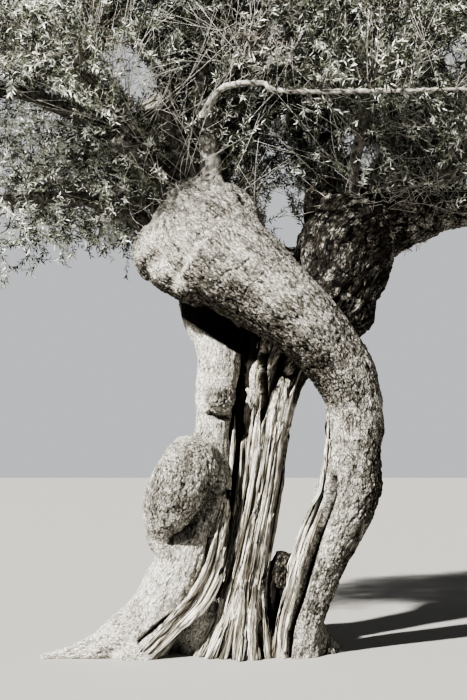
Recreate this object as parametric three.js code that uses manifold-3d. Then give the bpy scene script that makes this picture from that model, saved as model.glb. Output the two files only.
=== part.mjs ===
// An ancient olive tree, in millimetres, +Z up, with its origin on the flat cut at ground level.
// Two living stems and a fluted core of bare heartwood rise from one foot. The right stem bends over
// and crosses in front of the core as a massive bough, and ends in a pollarded head. The core leans
// the other way, behind that bough, and carries the rear bough. Limbs from both feed the foliage.
import * as THREE from "three";
import { mergeVertices } from "three/addons/utils/BufferGeometryUtils.js";
import Module from "manifold-3d";

const wasm = await Module();
wasm.setup();

// Driving dimensions.
const FOOT_TOP = 260; // the foot ends and the separate stems begin
const GAP = 0.4; // clearance between pieces that touch
const MERGE = 1e-3; // vertices nearer than this are one
const FAR = 20000; // larger than the tree
const KNOB_UNEVEN = 0.05; // how far the lumps of wood stray from round, as a share of their size
const MASS_UNEVEN = 0.13; // the same for the masses of foliage

const BARK = { color: 0x8d8577, roughness: 0.95, metalness: 0 };
const DEAD_WOOD = { color: 0xa69c8b, roughness: 0.9, metalness: 0 };
const LEAVES = { color: 0x75806a, roughness: 0.8, metalness: 0 };

// A route is a list of stations along the middle of a limb, each [x, y, z, radius].
const LEFT_STEM = [
  [-870, 0, -60, 265],
  [-765, 0, 215, 258],
  [-620, 10, 470, 252],
  [-465, 30, 770, 232],
  [-375, 50, 1010, 225],
  [-300, 70, 1250, 225],
  [-220, 90, 1520, 208],
  [-205, 105, 1880, 168],
  [-185, 140, 2240, 175],
  [-135, 210, 2660, 212],
  [-195, 270, 2990, 262],
  [-235, 250, 3220, 285],
  [-200, 100, 3500, 260],
];
const BURL = { centre: [-460, -100, 1430], radii: [290, 340, 500], lean: 0.45 };
const BURL_CHEEK = { centre: [-555, -120, 1270], radii: [238, 282, 262], lean: 0 };
const STEM_KNOT = { centre: [-110, -70, 2260], radii: [130, 160, 145], lean: 0 };
const LEFT_ROOT = [
  [-820, -20, 300, 190],
  [-1010, -70, 165, 172],
  [-1190, -110, 85, 112],
  [-1430, -150, 40, 70],
  [-1680, -190, 5, 38],
];
const HEARTWOOD = [
  [45, 90, -60, 300],
  [65, 90, 290, 258],
  [90, 105, 560, 232],
  [130, 120, 800, 212],
  [190, 140, 1160, 210],
  [247, 160, 1520, 216],
  [290, 180, 1880, 220],
  [345, 210, 2250, 250],
  [405, 250, 2530, 298],
  [600, 330, 2880, 340],
];
const DARK_WALL = [
  [-180, 260, -60, 200],
  [-120, 270, 230, 180],
  [-70, 280, 440, 150],
  [5, 285, 800, 140],
  [50, 290, 1150, 138],
  [80, 300, 1520, 138],
  [110, 310, 1880, 150],
  [135, 330, 2260, 180],
  [195, 350, 2640, 230],
  [260, 380, 3050, 270],
];
const RIGHT_STEM = [
  [520, 40, -60, 260],
  [580, 30, 260, 205],
  [690, 15, 600, 220],
  [800, 0, 900, 255],
  [930, -20, 1180, 280],
  [1030, -40, 1450, 290],
  [1080, -60, 1780, 255],
  [1080, -80, 2140, 250],
  [1000, -120, 2420, 280],
];
const CROSSING_BOUGH = [
  [1010, -115, 2395, 277],
  [905, -160, 2580, 292],
  [760, -215, 2755, 312],
  [590, -270, 2915, 335],
  [350, -300, 3110, 370],
  [80, -290, 3350, 430],
  [-160, -250, 3570, 460],
];
const HEAD = { centre: [-240, -200, 3700], radii: [530, 380, 500], lean: -0.55 };
const HEAD_CROWN = { centre: [-330, -120, 4010], radii: [300, 270, 260], lean: 0 };
const HEAD_JAW = { centre: [-370, -200, 3240], radii: [240, 240, 170], lean: 0.25 };
const HEAD_KNOB = { centre: [-730, -140, 3560], radii: [185, 200, 270], lean: 0.1 };
const REAR_BOUGH = [
  [560, 320, 2780, 310],
  [760, 360, 3020, 370],
  [950, 410, 3330, 440],
  [1080, 455, 3720, 490],
  [1160, 495, 4130, 430],
];
const REAR_SWELL = { centre: [1050, 390, 3140], radii: [325, 340, 335], lean: 0 };
const REAR_ARM = [
  [1150, 500, 3960, 410],
  [1480, 530, 3990, 350],
  [1780, 580, 4110, 285],
  [2090, 620, 4180, 225],
  [2500, 680, 4225, 190],
  [3070, 750, 4350, 155],
  [3500, 840, 4480, 115],
];
const LEFT_RIB = [
  [-840, -210, -60, 66],
  [-690, -200, 100, 76],
  [-520, -180, 270, 86],
  [-325, -155, 475, 98],
  [-205, -140, 675, 95],
  [-125, -120, 910, 87],
  [-65, -90, 1170, 70],
  [-30, -60, 1410, 44],
];
const RIGHT_RIB = [
  [400, -130, -60, 75],
  [425, -135, 240, 60],
  [490, -145, 530, 64],
  [565, -150, 810, 68],
  [645, -160, 1060, 70],
  [740, -165, 1300, 58],
  [800, -160, 1460, 45],
  [840, -140, 1850, 28],
];

// Limbs above the head and the rear bough. Each feeds one mass of foliage, and ends where it enters it.
const LIMBS = [
  { name: "limb_left_low", feeds: "foliage_left_low",
    route: [[-640, 60, 3760, 110], [-1050, 150, 4040, 82], [-1560, 150, 4150, 62], [-2200, 120, 4120, 40]] },
  { name: "limb_left_outer", feeds: "foliage_left_outer",
    route: [[-520, -60, 4080, 130], [-810, -100, 4430, 104], [-1140, -130, 4740, 88],
      [-1550, -170, 4910, 76], [-2000, -220, 5020, 64], [-2500, -280, 5130, 45]] },
  { name: "limb_left_front", feeds: "foliage_left_front",
    route: [[-760, -160, 4400, 74], [-1000, -450, 4740, 56], [-1350, -800, 5060, 36]] },
  { name: "limb_left_back", feeds: "foliage_left_back",
    route: [[-480, 60, 3960, 105], [-800, 480, 4220, 80], [-1250, 900, 4450, 60], [-1620, 1180, 4600, 38]] },
  { name: "limb_left_top", feeds: "foliage_left_top",
    route: [[-380, -90, 4130, 132], [-520, -60, 4650, 108], [-620, 0, 5100, 84], [-660, 60, 5520, 64],
      [-1020, 100, 5950, 40]] },
  { name: "limb_upright", feeds: "foliage_top_centre",
    route: [[-200, -120, 4140, 125], [-225, -90, 4500, 88], [-260, -60, 4820, 72], [-300, -20, 5100, 62],
      [-250, 0, 5500, 52], [-160, 0, 5950, 42], [-100, -60, 6250, 34]] },
  { name: "limb_centre", feeds: "foliage_centre",
    route: [[-150, 20, 4050, 80], [-110, 160, 4400, 60], [-60, 240, 4750, 46], [-30, 250, 5050, 32]] },
  { name: "limb_front", feeds: "foliage_front_centre",
    route: [[-210, -60, 4990, 52], [-30, -420, 5150, 42], [180, -760, 5320, 32]] },
  { name: "limb_back", feeds: "foliage_back_centre",
    route: [[-200, 30, 3900, 105], [-300, 560, 4200, 80], [-420, 1080, 4560, 60], [-520, 1500, 4900, 38]] },
  { name: "limb_back_low", feeds: "foliage_back_low",
    route: [[820, 600, 3300, 95], [780, 1000, 3560, 74], [620, 1450, 3800, 54], [480, 1850, 4050, 36]] },
  { name: "limb_right_inner", feeds: "foliage_right_inner",
    route: [[980, 470, 3980, 76], [930, 460, 4320, 58], [1000, 450, 4700, 46], [1080, 440, 5100, 34]] },
  { name: "limb_right_top", feeds: "foliage_right_top",
    route: [[1230, 540, 4120, 84], [1420, 560, 4520, 66], [1560, 520, 5020, 54], [1520, 440, 5560, 44],
      [1430, 360, 6050, 32]] },
  { name: "limb_right_front", feeds: "foliage_right_front",
    route: [[1150, 330, 4100, 64], [1130, -60, 4420, 52], [1180, -520, 4720, 42], [1210, -820, 4950, 32]] },
  { name: "limb_right_outer", feeds: "foliage_right_outer",
    route: [[2000, 640, 4250, 76], [2180, 600, 4580, 58], [2330, 480, 4930, 46], [2400, 350, 5200, 34]] },
  { name: "limb_right_low_front", feeds: "foliage_right_low_front",
    route: [[1800, 560, 4200, 66], [2010, 120, 4360, 52], [2170, -360, 4480, 42], [2260, -720, 4580, 32]] },
  { name: "limb_right_back", feeds: "foliage_right_back",
    route: [[1150, 800, 3960, 95], [1300, 1180, 4280, 74], [1450, 1540, 4620, 54], [1560, 1800, 4900, 36]] },
  { name: "limb_back_top", feeds: "foliage_back_top",
    route: [[990, 700, 4040, 84], [820, 950, 4600, 66], [620, 1120, 5250, 50], [450, 1200, 5900, 34]] },
  { name: "long_rod", feeds: "foliage_right_rod_tip",
    route: [[-280, -130, 4790, 50], [-190, -370, 4910, 36], [-60, -640, 4930, 30], [245, -900, 4850, 24],
      [360, -980, 4750, 22], [850, -1180, 4665, 20], [1380, -1300, 4625, 16], [2050, -1380, 4610, 12]] },
];

// Sawn stubs of old boughs.
const STUBS = [
  { name: "stub_high",
    route: [[-500, -110, 4500, 105], [-620, -240, 4720, 107], [-740, -420, 4880, 117]] },
  { name: "stub_low",
    route: [[-700, -140, 4220, 120], [-880, -280, 4450, 118], [-1010, -420, 4560, 122]] },
  { name: "stub_rear",
    route: [[850, 400, 3950, 200], [825, 385, 4200, 170], [835, 375, 4390, 165]] },
];

// Masses of foliage: centre, half sizes, and the seed of its own uneven outline.
const MASSES = [
  { name: "foliage_left_low", centre: [-2330, 60, 4010], radii: [820, 820, 640], seed: 1, detail: 1 },
  { name: "foliage_left_outer", centre: [-2640, -330, 5150], radii: [800, 920, 720], seed: 2 },
  { name: "foliage_left_front", centre: [-1480, -930, 5200], radii: [840, 640, 580], seed: 3 },
  { name: "foliage_left_back", centre: [-1700, 1260, 4660], radii: [960, 900, 840], seed: 4, detail: 1 },
  { name: "foliage_left_top", centre: [-1640, 120, 5960], radii: [1010, 1020, 800], seed: 5 },
  { name: "foliage_top_centre", centre: [-90, -130, 6400], radii: [1080, 1100, 790], seed: 6 },
  { name: "foliage_centre", centre: [-40, 260, 5240], radii: [820, 760, 720], seed: 7, detail: 1 },
  { name: "foliage_front_centre", centre: [260, -930, 5330], radii: [800, 600, 620], seed: 8 },
  { name: "foliage_back_centre", centre: [-520, 1760, 5040], radii: [980, 820, 880], seed: 9, detail: 1 },
  { name: "foliage_back_low", centre: [480, 2060, 4130], radii: [860, 700, 640], seed: 10, detail: 1 },
  { name: "foliage_right_inner", centre: [1100, 430, 5260], radii: [760, 860, 700], seed: 11, detail: 1 },
  { name: "foliage_right_top", centre: [1430, 260, 6270], radii: [1020, 1040, 800], seed: 12 },
  { name: "foliage_right_front", centre: [1330, -880, 5290], radii: [800, 640, 640], seed: 13 },
  { name: "foliage_right_outer", centre: [2530, 240, 5420], radii: [900, 980, 800], seed: 14 },
  { name: "foliage_right_low_front", centre: [2320, -900, 4640], radii: [780, 700, 600], seed: 15 },
  { name: "foliage_right_end", centre: [3400, 800, 4540], radii: [680, 780, 560], seed: 16, detail: 1 },
  { name: "foliage_right_back", centre: [1620, 1860, 4980], radii: [1000, 840, 860], seed: 17, detail: 1 },
  { name: "foliage_back_top", centre: [380, 1290, 6120], radii: [900, 900, 760], seed: 18 },
  { name: "foliage_right_rod_tip", centre: [2380, -1420, 4800], radii: [520, 420, 400], seed: 19, detail: 1 },
  { name: "foliage_head_shoots", centre: [170, -260, 4170], radii: [230, 260, 300], seed: 20, detail: 1 },
];

// A closed tube along a route, round in section unless lobes flute it. It starts as a cylinder whose
// rings are then set along the curve. grow swells it all round, for cutting a neighbour with clearance.
function limbGeometry(route, { sides = 16, rings, lobes = 0, lobeDepth = 0, twist = 0 }, grow = 0) {
  const count = rings ?? 2 * (route.length - 1);
  const axis = new THREE.CatmullRomCurve3(route.map(([x, y, z]) => new THREE.Vector3(x, y, z)));
  const girth = new THREE.SplineCurve(route.map(([, , , r], i) => new THREE.Vector2(i, r)));
  const frames = [];
  let side = new THREE.Vector3(0, 1, 0).cross(axis.getTangent(0));
  if (side.length() < 0.3) side = new THREE.Vector3(1, 0, 0);
  for (let i = 0; i <= count; i++) {
    const along = axis.getTangent(i / count);
    side = side.clone().addScaledVector(along, -side.dot(along)).normalize();
    frames.push({ middle: axis.getPoint(i / count), along, side, back: side.clone().cross(along) });
  }
  frames[0].middle.addScaledVector(frames[0].along, -grow);
  frames[count].middle.addScaledVector(frames[count].along, grow);
  const geometry = new THREE.CylinderGeometry(1, 1, 1, sides, count);
  const position = geometry.getAttribute("position");
  for (let i = 0; i < position.count; i++) {
    const [x, y, z] = [position.getX(i), position.getY(i), position.getZ(i)];
    const t = y + 0.5;
    const { middle, side: across, back } = frames[Math.round(t * count)];
    const angle = Math.atan2(z, x) + twist * t;
    const flute = 1 + lobeDepth * Math.cos(lobes * angle);
    const radius = girth.getPoint(t).y * flute + grow;
    const point = middle.clone().addScaledVector(across, x * radius).addScaledVector(back, z * radius);
    position.setXYZ(i, point.x, point.y, point.z);
  }
  return geometry;
}

// Smooth lumps over a unit sphere, from a seed: between about 0.85 and 1.15.
function lumpiness(direction, seed, strength) {
  let sum = 0;
  for (let wave = 1; wave <= 4; wave++) {
    const turn = seed * 2.39996 * wave;
    const axis = new THREE.Vector3(Math.cos(turn), Math.sin(turn), Math.sin(turn * 1.7)).normalize();
    sum += Math.sin(2.1 * wave * direction.dot(axis) + turn) / wave;
  }
  return 1 + strength * sum;
}

// An uneven closed blob: a burl, a head or a mass of foliage.
function blobGeometry({ centre, radii, lean = 0, seed = 0 }, { detail, strength }, grow = 0) {
  const geometry = mergedOf(new THREE.IcosahedronGeometry(1, detail));
  const position = geometry.getAttribute("position");
  for (let i = 0; i < position.count; i++) {
    const direction = new THREE.Vector3().fromBufferAttribute(position, i).normalize();
    const swell = lumpiness(direction, seed, strength);
    const point = new THREE.Vector3(...radii).addScalar(grow).multiply(direction).multiplyScalar(swell);
    point.applyAxisAngle(new THREE.Vector3(0, 1, 0), lean).add(new THREE.Vector3(...centre));
    position.setXYZ(i, point.x, point.y, point.z);
  }
  return geometry;
}

function mergedOf(geometry) {
  for (const extra of ["normal", "uv"]) geometry.deleteAttribute(extra);
  return mergeVertices(geometry, MERGE);
}

function solidOf(geometry) {
  const merged = mergedOf(geometry);
  return new wasm.Manifold(
    new wasm.Mesh({
      numProp: 3,
      vertProperties: merged.getAttribute("position").array,
      triVerts: new Uint32Array(merged.index.array),
    }),
  );
}

const limb = (route, form) => (grow) => solidOf(limbGeometry(route, form, grow));
const knob = (shape, seed, detail = 2) => (grow) =>
  solidOf(blobGeometry({ ...shape, seed }, { detail, strength: KNOB_UNEVEN }, grow));
const joined = (makers) => (grow) => makers.map((make) => make(grow)).reduce((a, b) => a.add(b));

// A slab that covers everything beneath or above a level.
function everything(below, level) {
  const box = new THREE.BoxGeometry(FAR, FAR, FAR);
  box.translate(0, 0, level + ((below ? -1 : 1) * FAR) / 2);
  return solidOf(box);
}

function biggest(solid) {
  return solid.decompose().sort((a, b) => b.volume() - a.volume())[0];
}

const AS_STEM = { sides: 8, rings: 8 };
const AS_BOUGH = { sides: 11, rings: 6 };
const AS_RIB = { sides: 5, rings: 5 };
const AS_ARM = { sides: 8, rings: 6 };
const AS_SPUR = { sides: 4, rings: 2 };
const AS_WALL = { sides: 6, rings: 4 };
const FLUTED = { sides: 10, lobes: 5, lobeDepth: 0.1, twist: 0.5, rings: 6 };
const AS_LIMB = { sides: 5 };
const AS_STUB = { sides: 7 };

// The foot: the lower ends of all the stems, with spurs of root between and behind them.
const ROOT_SPURS = [
  [[-120, 180, 300, 200], [-260, 420, 60, 170], [-420, 640, -60, 90]],
  [[180, 200, 300, 210], [220, 470, 60, 180], [260, 760, -60, 90]],
  [[600, 60, 300, 180], [760, 130, 60, 150], [960, 220, -60, 80]],
  [[500, 100, 300, 190], [600, 330, 60, 160], [720, 540, -60, 80]],
  [[-560, 100, 300, 220], [-760, 300, 60, 170], [-960, 450, -60, 80]],
  [[60, -40, 280, 150], [40, -160, 60, 130], [10, -290, -60, 70]],
  [[-330, 60, 260, 170], [-200, 40, 100, 190], [-60, 40, -60, 220]],
  [[300, 80, 200, 150], [340, 60, 80, 170], [380, 60, -60, 180]],
];
const foot = joined([
  limb(LEFT_STEM, AS_STEM),
  limb(HEARTWOOD, FLUTED),
  limb(DARK_WALL, AS_WALL),
  limb(RIGHT_STEM, AS_STEM),
  limb(LEFT_RIB, AS_RIB),
  limb(RIGHT_RIB, AS_RIB),
  ...ROOT_SPURS.map((route) => limb(route, AS_SPUR)),
]);

// Wood in the order in which it claims its space: each piece is cut by all those before it.
const WOOD = [
  { name: "crossing_bough", make: limb(CROSSING_BOUGH, AS_BOUGH), skin: BARK },
  { name: "right_stem", make: limb(RIGHT_STEM, AS_STEM), skin: BARK, above: FOOT_TOP },
  { name: "pollard_head", make: joined([knob(HEAD, 3), knob(HEAD_CROWN, 5, 1), knob(HEAD_JAW, 8, 1)]),
    skin: BARK },
  { name: "head_knob", make: knob(HEAD_KNOB, 7, 1), skin: BARK },
  { name: "left_stem", make: limb(LEFT_STEM, AS_STEM), skin: BARK, above: FOOT_TOP },
  { name: "burl", make: joined([knob(BURL, 11), knob(BURL_CHEEK, 6, 1)]), skin: BARK },
  { name: "stem_knot", make: knob(STEM_KNOT, 4, 1), skin: BARK },
  { name: "rear_bough", make: joined([limb(REAR_BOUGH, AS_BOUGH), knob(REAR_SWELL, 9, 1)]), skin: BARK },
  { name: "rear_arm", make: limb(REAR_ARM, AS_ARM), skin: BARK },
  { name: "heartwood", make: limb(HEARTWOOD, FLUTED), skin: DEAD_WOOD, above: FOOT_TOP },
  { name: "dark_wall", make: limb(DARK_WALL, AS_WALL), skin: DEAD_WOOD, above: FOOT_TOP },
  { name: "left_rib", make: limb(LEFT_RIB, AS_RIB), skin: DEAD_WOOD, above: FOOT_TOP },
  { name: "right_rib", make: limb(RIGHT_RIB, AS_RIB), skin: DEAD_WOOD, above: FOOT_TOP },
];

const tree = new THREE.Group();

function place(name, solid, skin) {
  const mesh = biggest(solid).getMesh();
  const geometry = new THREE.BufferGeometry();
  geometry.setAttribute("position", new THREE.BufferAttribute(new Float32Array(mesh.vertProperties), 3));
  geometry.setIndex(new THREE.BufferAttribute(mesh.triVerts, 1));
  const part = new THREE.Mesh(geometry, new THREE.MeshStandardMaterial(skin));
  part.name = name;
  tree.add(part);
}

// The trunk: the foot with its flat cut on the ground, then the stems, the boughs and the bare wood.
const ground = everything(true, 0);
const footZone = everything(true, FOOT_TOP + GAP);
place("trunk_foot", foot(0).subtract(ground).subtract(everything(false, FOOT_TOP)), BARK);
const footCutter = foot(GAP).subtract(everything(false, FOOT_TOP + GAP));
const claimed = [];
for (const { name, make, skin, above } of WOOD) {
  let solid = make(0);
  if (above) solid = solid.subtract(footZone);
  for (const cutter of claimed) solid = solid.subtract(cutter);
  place(name, solid, skin);
  claimed.push(make(GAP));
}
const leftRoot = limb(LEFT_ROOT, { sides: 7, rings: 5 });
place("left_root", claimed.reduce((solid, cutter) => solid.subtract(cutter),
  leftRoot(0).subtract(ground).subtract(footCutter)), BARK);
claimed.push(footCutter);

// The limbs and stubs are cut by the trunk, by each other and by the mass that they feed.
const massOf = (mass, grow) =>
  solidOf(blobGeometry(mass, { detail: mass.detail ?? 2, strength: MASS_UNEVEN }, grow));
const limbCutters = [];
for (const { name, route, feeds } of [...LIMBS, ...STUBS]) {
  const form = feeds ? AS_LIMB : AS_STUB;
  const make = limb(route, { ...form, rings: route.length - 1 });
  let solid = make(0);
  for (const cutter of [...claimed, ...limbCutters]) solid = solid.subtract(cutter);
  const fed = MASSES.find((mass) => mass.name === feeds);
  if (fed) solid = solid.subtract(massOf(fed, GAP));
  place(name, solid, BARK);
  limbCutters.push(make(GAP));
}

// Two masses that would overlap meet at a plane between their centres.
function beyondMeeting(mass, other) {
  const from = new THREE.Vector3(...mass.centre);
  const to = new THREE.Vector3(...other.centre);
  const along = to.clone().sub(from);
  const distance = along.length();
  along.normalize();
  const reach = ({ radii }) => 1 / new THREE.Vector3(...radii).set(
    along.x / radii[0], along.y / radii[1], along.z / radii[2]).length();
  const share = reach(mass) / (reach(mass) + reach(other));
  const box = new THREE.BoxGeometry(FAR, FAR, FAR);
  box.translate(0, 0, FAR / 2 - GAP / 2);
  box.applyQuaternion(new THREE.Quaternion().setFromUnitVectors(new THREE.Vector3(0, 0, 1), along));
  const meeting = from.addScaledVector(along, distance * share);
  box.translate(meeting.x, meeting.y, meeting.z);
  return solidOf(box);
}

const wholeMasses = MASSES.map((mass) => massOf(mass, 0));
MASSES.forEach((mass, i) => {
  let solid = wholeMasses[i];
  MASSES.forEach((other, j) => {
    if (i !== j && wholeMasses[i].intersect(wholeMasses[j]).volume() > 0)
      solid = solid.subtract(beyondMeeting(mass, other));
  });
  for (const cutter of claimed) solid = solid.subtract(cutter);
  [...LIMBS, ...STUBS].forEach(({ feeds }, j) => {
    if (feeds !== mass.name) solid = solid.subtract(limbCutters[j]);
  });
  place(mass.name, solid, LEAVES);
});

export default tree;
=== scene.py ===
import math

import bpy
import numpy as np
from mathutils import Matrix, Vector, noise
from mathutils.bvhtree import BVHTree

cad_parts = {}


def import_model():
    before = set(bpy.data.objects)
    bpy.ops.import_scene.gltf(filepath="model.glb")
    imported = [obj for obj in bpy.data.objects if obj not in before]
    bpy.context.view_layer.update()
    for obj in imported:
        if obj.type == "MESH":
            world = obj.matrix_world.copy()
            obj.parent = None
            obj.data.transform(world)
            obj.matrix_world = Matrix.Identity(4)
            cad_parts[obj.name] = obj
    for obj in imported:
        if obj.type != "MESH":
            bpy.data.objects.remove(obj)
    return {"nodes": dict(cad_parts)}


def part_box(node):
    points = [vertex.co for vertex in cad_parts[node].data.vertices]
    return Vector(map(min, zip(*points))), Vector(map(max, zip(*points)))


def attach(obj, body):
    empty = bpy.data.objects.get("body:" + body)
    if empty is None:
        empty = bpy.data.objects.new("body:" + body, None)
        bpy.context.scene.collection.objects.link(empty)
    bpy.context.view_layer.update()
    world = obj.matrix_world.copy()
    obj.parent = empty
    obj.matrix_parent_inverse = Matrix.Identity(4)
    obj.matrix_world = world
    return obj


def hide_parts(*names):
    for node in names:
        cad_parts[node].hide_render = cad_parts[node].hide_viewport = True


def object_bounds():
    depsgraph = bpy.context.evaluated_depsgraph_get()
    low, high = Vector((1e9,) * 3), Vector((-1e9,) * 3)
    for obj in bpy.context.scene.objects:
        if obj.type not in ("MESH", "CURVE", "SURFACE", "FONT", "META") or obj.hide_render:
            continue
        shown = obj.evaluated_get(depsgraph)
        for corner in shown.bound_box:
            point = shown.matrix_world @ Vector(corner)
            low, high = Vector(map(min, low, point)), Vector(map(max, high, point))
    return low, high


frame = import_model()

cad_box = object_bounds()

# The place from which the tree is seen: eye height, nine metres off, looking a little up at the fork.
# A long pale floor and an even pale sky stand in for its surroundings, under one low sun from the left.
EYE_HEIGHT = 1.55
EYE_DISTANCE = 9.0
LOOK_UP = math.radians(7.2)
SUN_SIDE = math.radians(-42)     # left of the line of sight
SUN_HEIGHT = math.radians(37)
SUN_STRENGTH = 8.8
SKY_SEEN = 0.62                  # strength of the sky in view
SKY_LIGHT = 0.18                 # strength of the light that it gives, low enough for deep shade
FLOOR_SIDE = 3000


def linear(code):
    """An sRGB hex colour such as 8f8879, in the linear values that shaders take."""
    shares = [int(code[i:i + 2], 16) / 255 for i in (0, 2, 4)]
    return [s / 12.92 if s < 0.04045 else ((s + 0.055) / 1.055) ** 2.4 for s in shares] + [1]


def feed(made, feeds):
    """Gives sockets of a node, by number or by name, the value or the output that stands before each."""
    for source, socket in feeds:
        if isinstance(source, bpy.types.NodeSocket):
            made.id_data.links.new(source, made.inputs[socket])
        else:
            made.inputs[socket].default_value = source


def node(material, kind, feeds=(), **settings):
    """Adds a shader node of a kind. Settings name its properties or its sockets, and feeds are as above."""
    made = material.node_tree.nodes.new("ShaderNode" + kind)
    for name, value in settings.items():
        if hasattr(made, name):
            setattr(made, name, value)
        else:
            made.inputs[name.replace("_", " ").title()].default_value = value
    feed(made, feeds)
    return made


def new_material(name):
    """An empty node material, and its surface shader."""
    material = bpy.data.materials.new(name)
    material.use_nodes = True
    return material, material.node_tree.nodes["Principled BSDF"]


camera = bpy.data.objects.new("camera", bpy.data.cameras.new("camera"))
bpy.context.scene.collection.objects.link(camera)
camera.location = (0, -EYE_DISTANCE, EYE_HEIGHT)
camera.rotation_euler = (math.pi / 2 + LOOK_UP, 0, 0)
camera.data.sensor_fit = "VERTICAL"
camera.data.sensor_height = 36
camera.data.lens = 51.4
bpy.context.scene.camera = camera
bpy.context.scene.view_settings.look = "AgX - High Contrast"
bpy.context.scene.view_settings.exposure = 0.2

bpy.ops.object.select_all(action="DESELECT")
bpy.ops.mesh.primitive_plane_add(size=FLOOR_SIDE)
floor = bpy.context.object
floor.name = "floor"
plaster, surface = new_material("pale floor")
feed(surface, [(linear("a2a09c"), "Base Color"), (0.9, "Roughness")])
floor.data.materials.append(plaster)

sun = bpy.data.objects.new("sun", bpy.data.lights.new("sun", "SUN"))
bpy.context.scene.collection.objects.link(sun)
sun.data.energy = SUN_STRENGTH
sun.data.angle = math.radians(2)
sun.data.color = (1, 0.98, 0.95)
to_sun = Vector((math.sin(SUN_SIDE) * math.cos(SUN_HEIGHT), -math.cos(SUN_SIDE) * math.cos(SUN_HEIGHT),
                 math.sin(SUN_HEIGHT)))
sun.rotation_euler = to_sun.to_track_quat("Z", "Y").to_euler()
world = bpy.data.worlds.new("even sky")
bpy.context.scene.world = world
world.use_nodes = True
in_view = node(world, "LightPath").outputs["Is Camera Ray"]
glow = node(world, "MapRange", [(in_view, "Value")], to_min=SKY_LIGHT, to_max=SKY_SEEN)
feed(world.node_tree.nodes["Background"], [(linear("d6d8da"), "Color"), (glow.outputs[0], "Strength")])

# The left trunk: one living stem that rises from a long root, swells into a hanging burl, and passes
# behind the head. Its bark is old, grey and granular, coarser on the burl and on the knot above it.
# A route is a list of stations, x, y, z and radius, and a lump is a centre, its radii and how far it leans.
LEFT_STEM = [(-0.87, 0.00, -0.06, 0.265), (-0.765, 0.00, 0.215, 0.258), (-0.62, 0.01, 0.47, 0.252),
             (-0.465, 0.03, 0.77, 0.232), (-0.375, 0.05, 1.01, 0.225), (-0.30, 0.07, 1.25, 0.225),
             (-0.22, 0.09, 1.52, 0.208), (-0.205, 0.105, 1.88, 0.168), (-0.185, 0.14, 2.24, 0.175),
             (-0.135, 0.21, 2.66, 0.212), (-0.195, 0.27, 2.99, 0.262), (-0.235, 0.25, 3.22, 0.285),
             (-0.20, 0.10, 3.50, 0.26)]
LEFT_ROOT = [(-0.70, 0.00, 0.40, 0.20), (-0.82, -0.02, 0.30, 0.19), (-1.01, -0.07, 0.165, 0.172),
             (-1.19, -0.11, 0.085, 0.112), (-1.43, -0.15, 0.04, 0.07), (-1.68, -0.19, 0.005, 0.038)]
LEFT_SPURS = [[(-0.12, 0.18, 0.30, 0.16), (-0.26, 0.42, 0.06, 0.15), (-0.42, 0.64, -0.06, 0.09)],
              [(-0.56, 0.10, 0.30, 0.20), (-0.76, 0.30, 0.06, 0.16), (-0.96, 0.45, -0.06, 0.08)],
              [(-0.31, 0.10, 0.75, 0.12), (-0.29, 0.15, 0.35, 0.18), (-0.27, 0.18, -0.06, 0.22)]]
BURL = ((-0.46, -0.10, 1.43), (0.29, 0.34, 0.50), 0.45)
BURL_CHEEK = ((-0.56, -0.12, 1.26), (0.24, 0.28, 0.265), 0)
BURL_SHOULDER = ((-0.41, -0.02, 1.68), (0.215, 0.22, 0.26), 0.5)
BURL_NECK = ((-0.525, 0.00, 1.03), (0.25, 0.20, 0.235), 0)
STEM_KNOT = ((-0.11, -0.07, 2.26), (0.13, 0.16, 0.145), 0)
LEFT_VOXEL = 0.0107              # size of the cells that the pieces of the trunk are fused on

# Lines drawn on the front of the wood, as x, y, z and half width: a seam in the bark, and the undercuts
# below the burl, below the knot, and under the head. The undercuts are carved a little and darkened with
# painted shade; under the head this is a painted shadow of the head.
BARK_SEAM = [(-0.195, 0, 1.00, 0.03), (-0.229, 0, 0.765, 0.03), (-0.297, 0, 0.604, 0.03),
             (-0.391, 0, 0.453, 0.03), (-0.605, 0, 0.311, 0.03), (-0.80, 0, 0.161, 0.03)]
BURL_LIP = [(-0.11, 0, 1.56, 0.005), (-0.16, 0, 1.44, 0.035), (-0.24, 0, 1.25, 0.045),
            (-0.38, 0, 1.07, 0.045), (-0.54, 0, 0.975, 0.03)]
HEAD_RECESS_SHADOW = [(-0.56, 0, 3.15, 0.07), (-0.43, 0, 3.10, 0.11), (-0.30, 0, 3.02, 0.135),
               (-0.175, 0, 2.94, 0.14), (-0.04, 0, 2.84, 0.135), (0.06, 0, 2.75, 0.09)]
KNOT_LIP = [(-0.23, 0, 2.11, 0.02), (-0.12, 0, 2.075, 0.03), (-0.01, 0, 2.09, 0.02)]
GRAIN_STEP = 0.02                # spacing of the samples along a limb's middle
SEAM_DEPTH = 0.05
LIP_DEPTH = 0.075
RECESS_DEPTH = 0.03


def unit(ways):
    """Each direction, made one metre long."""
    return ways / np.linalg.norm(ways, axis=-1, keepdims=True)


def select_only(*pieces):
    """Leaves just these pieces selected, with the first of them active."""
    bpy.ops.object.select_all(action="DESELECT")
    for piece in pieces:
        piece.select_set(True)
    bpy.context.view_layer.objects.active = pieces[0]


def smooth(route, step=GRAIN_STEP):
    """The route's curve through its stations, sampled evenly enough: rows of x, y, z, radius."""
    stations = np.array(route, float)
    ends = np.vstack([2 * stations[0] - stations[1], stations, 2 * stations[-1] - stations[-2]])
    rows = []
    for a, b, c, d in zip(ends, ends[1:], ends[2:], ends[3:]):
        count = max(2, round(np.linalg.norm((c - b)[:3]) / step))
        t = np.arange(count)[:, None] / count
        rows.append(0.5 * (2 * b + (c - a) * t + (2 * a - 5 * b + 4 * c - d) * t ** 2
                           + (3 * b - a - 3 * c + d) * t ** 3))
    return np.vstack([*rows, stations[-1:]])


def run_along(middles):
    """How far along the line through them each of the points lies."""
    return np.concatenate([[0], np.cumsum(np.linalg.norm(np.diff(middles, axis=0), axis=1))])


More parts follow.
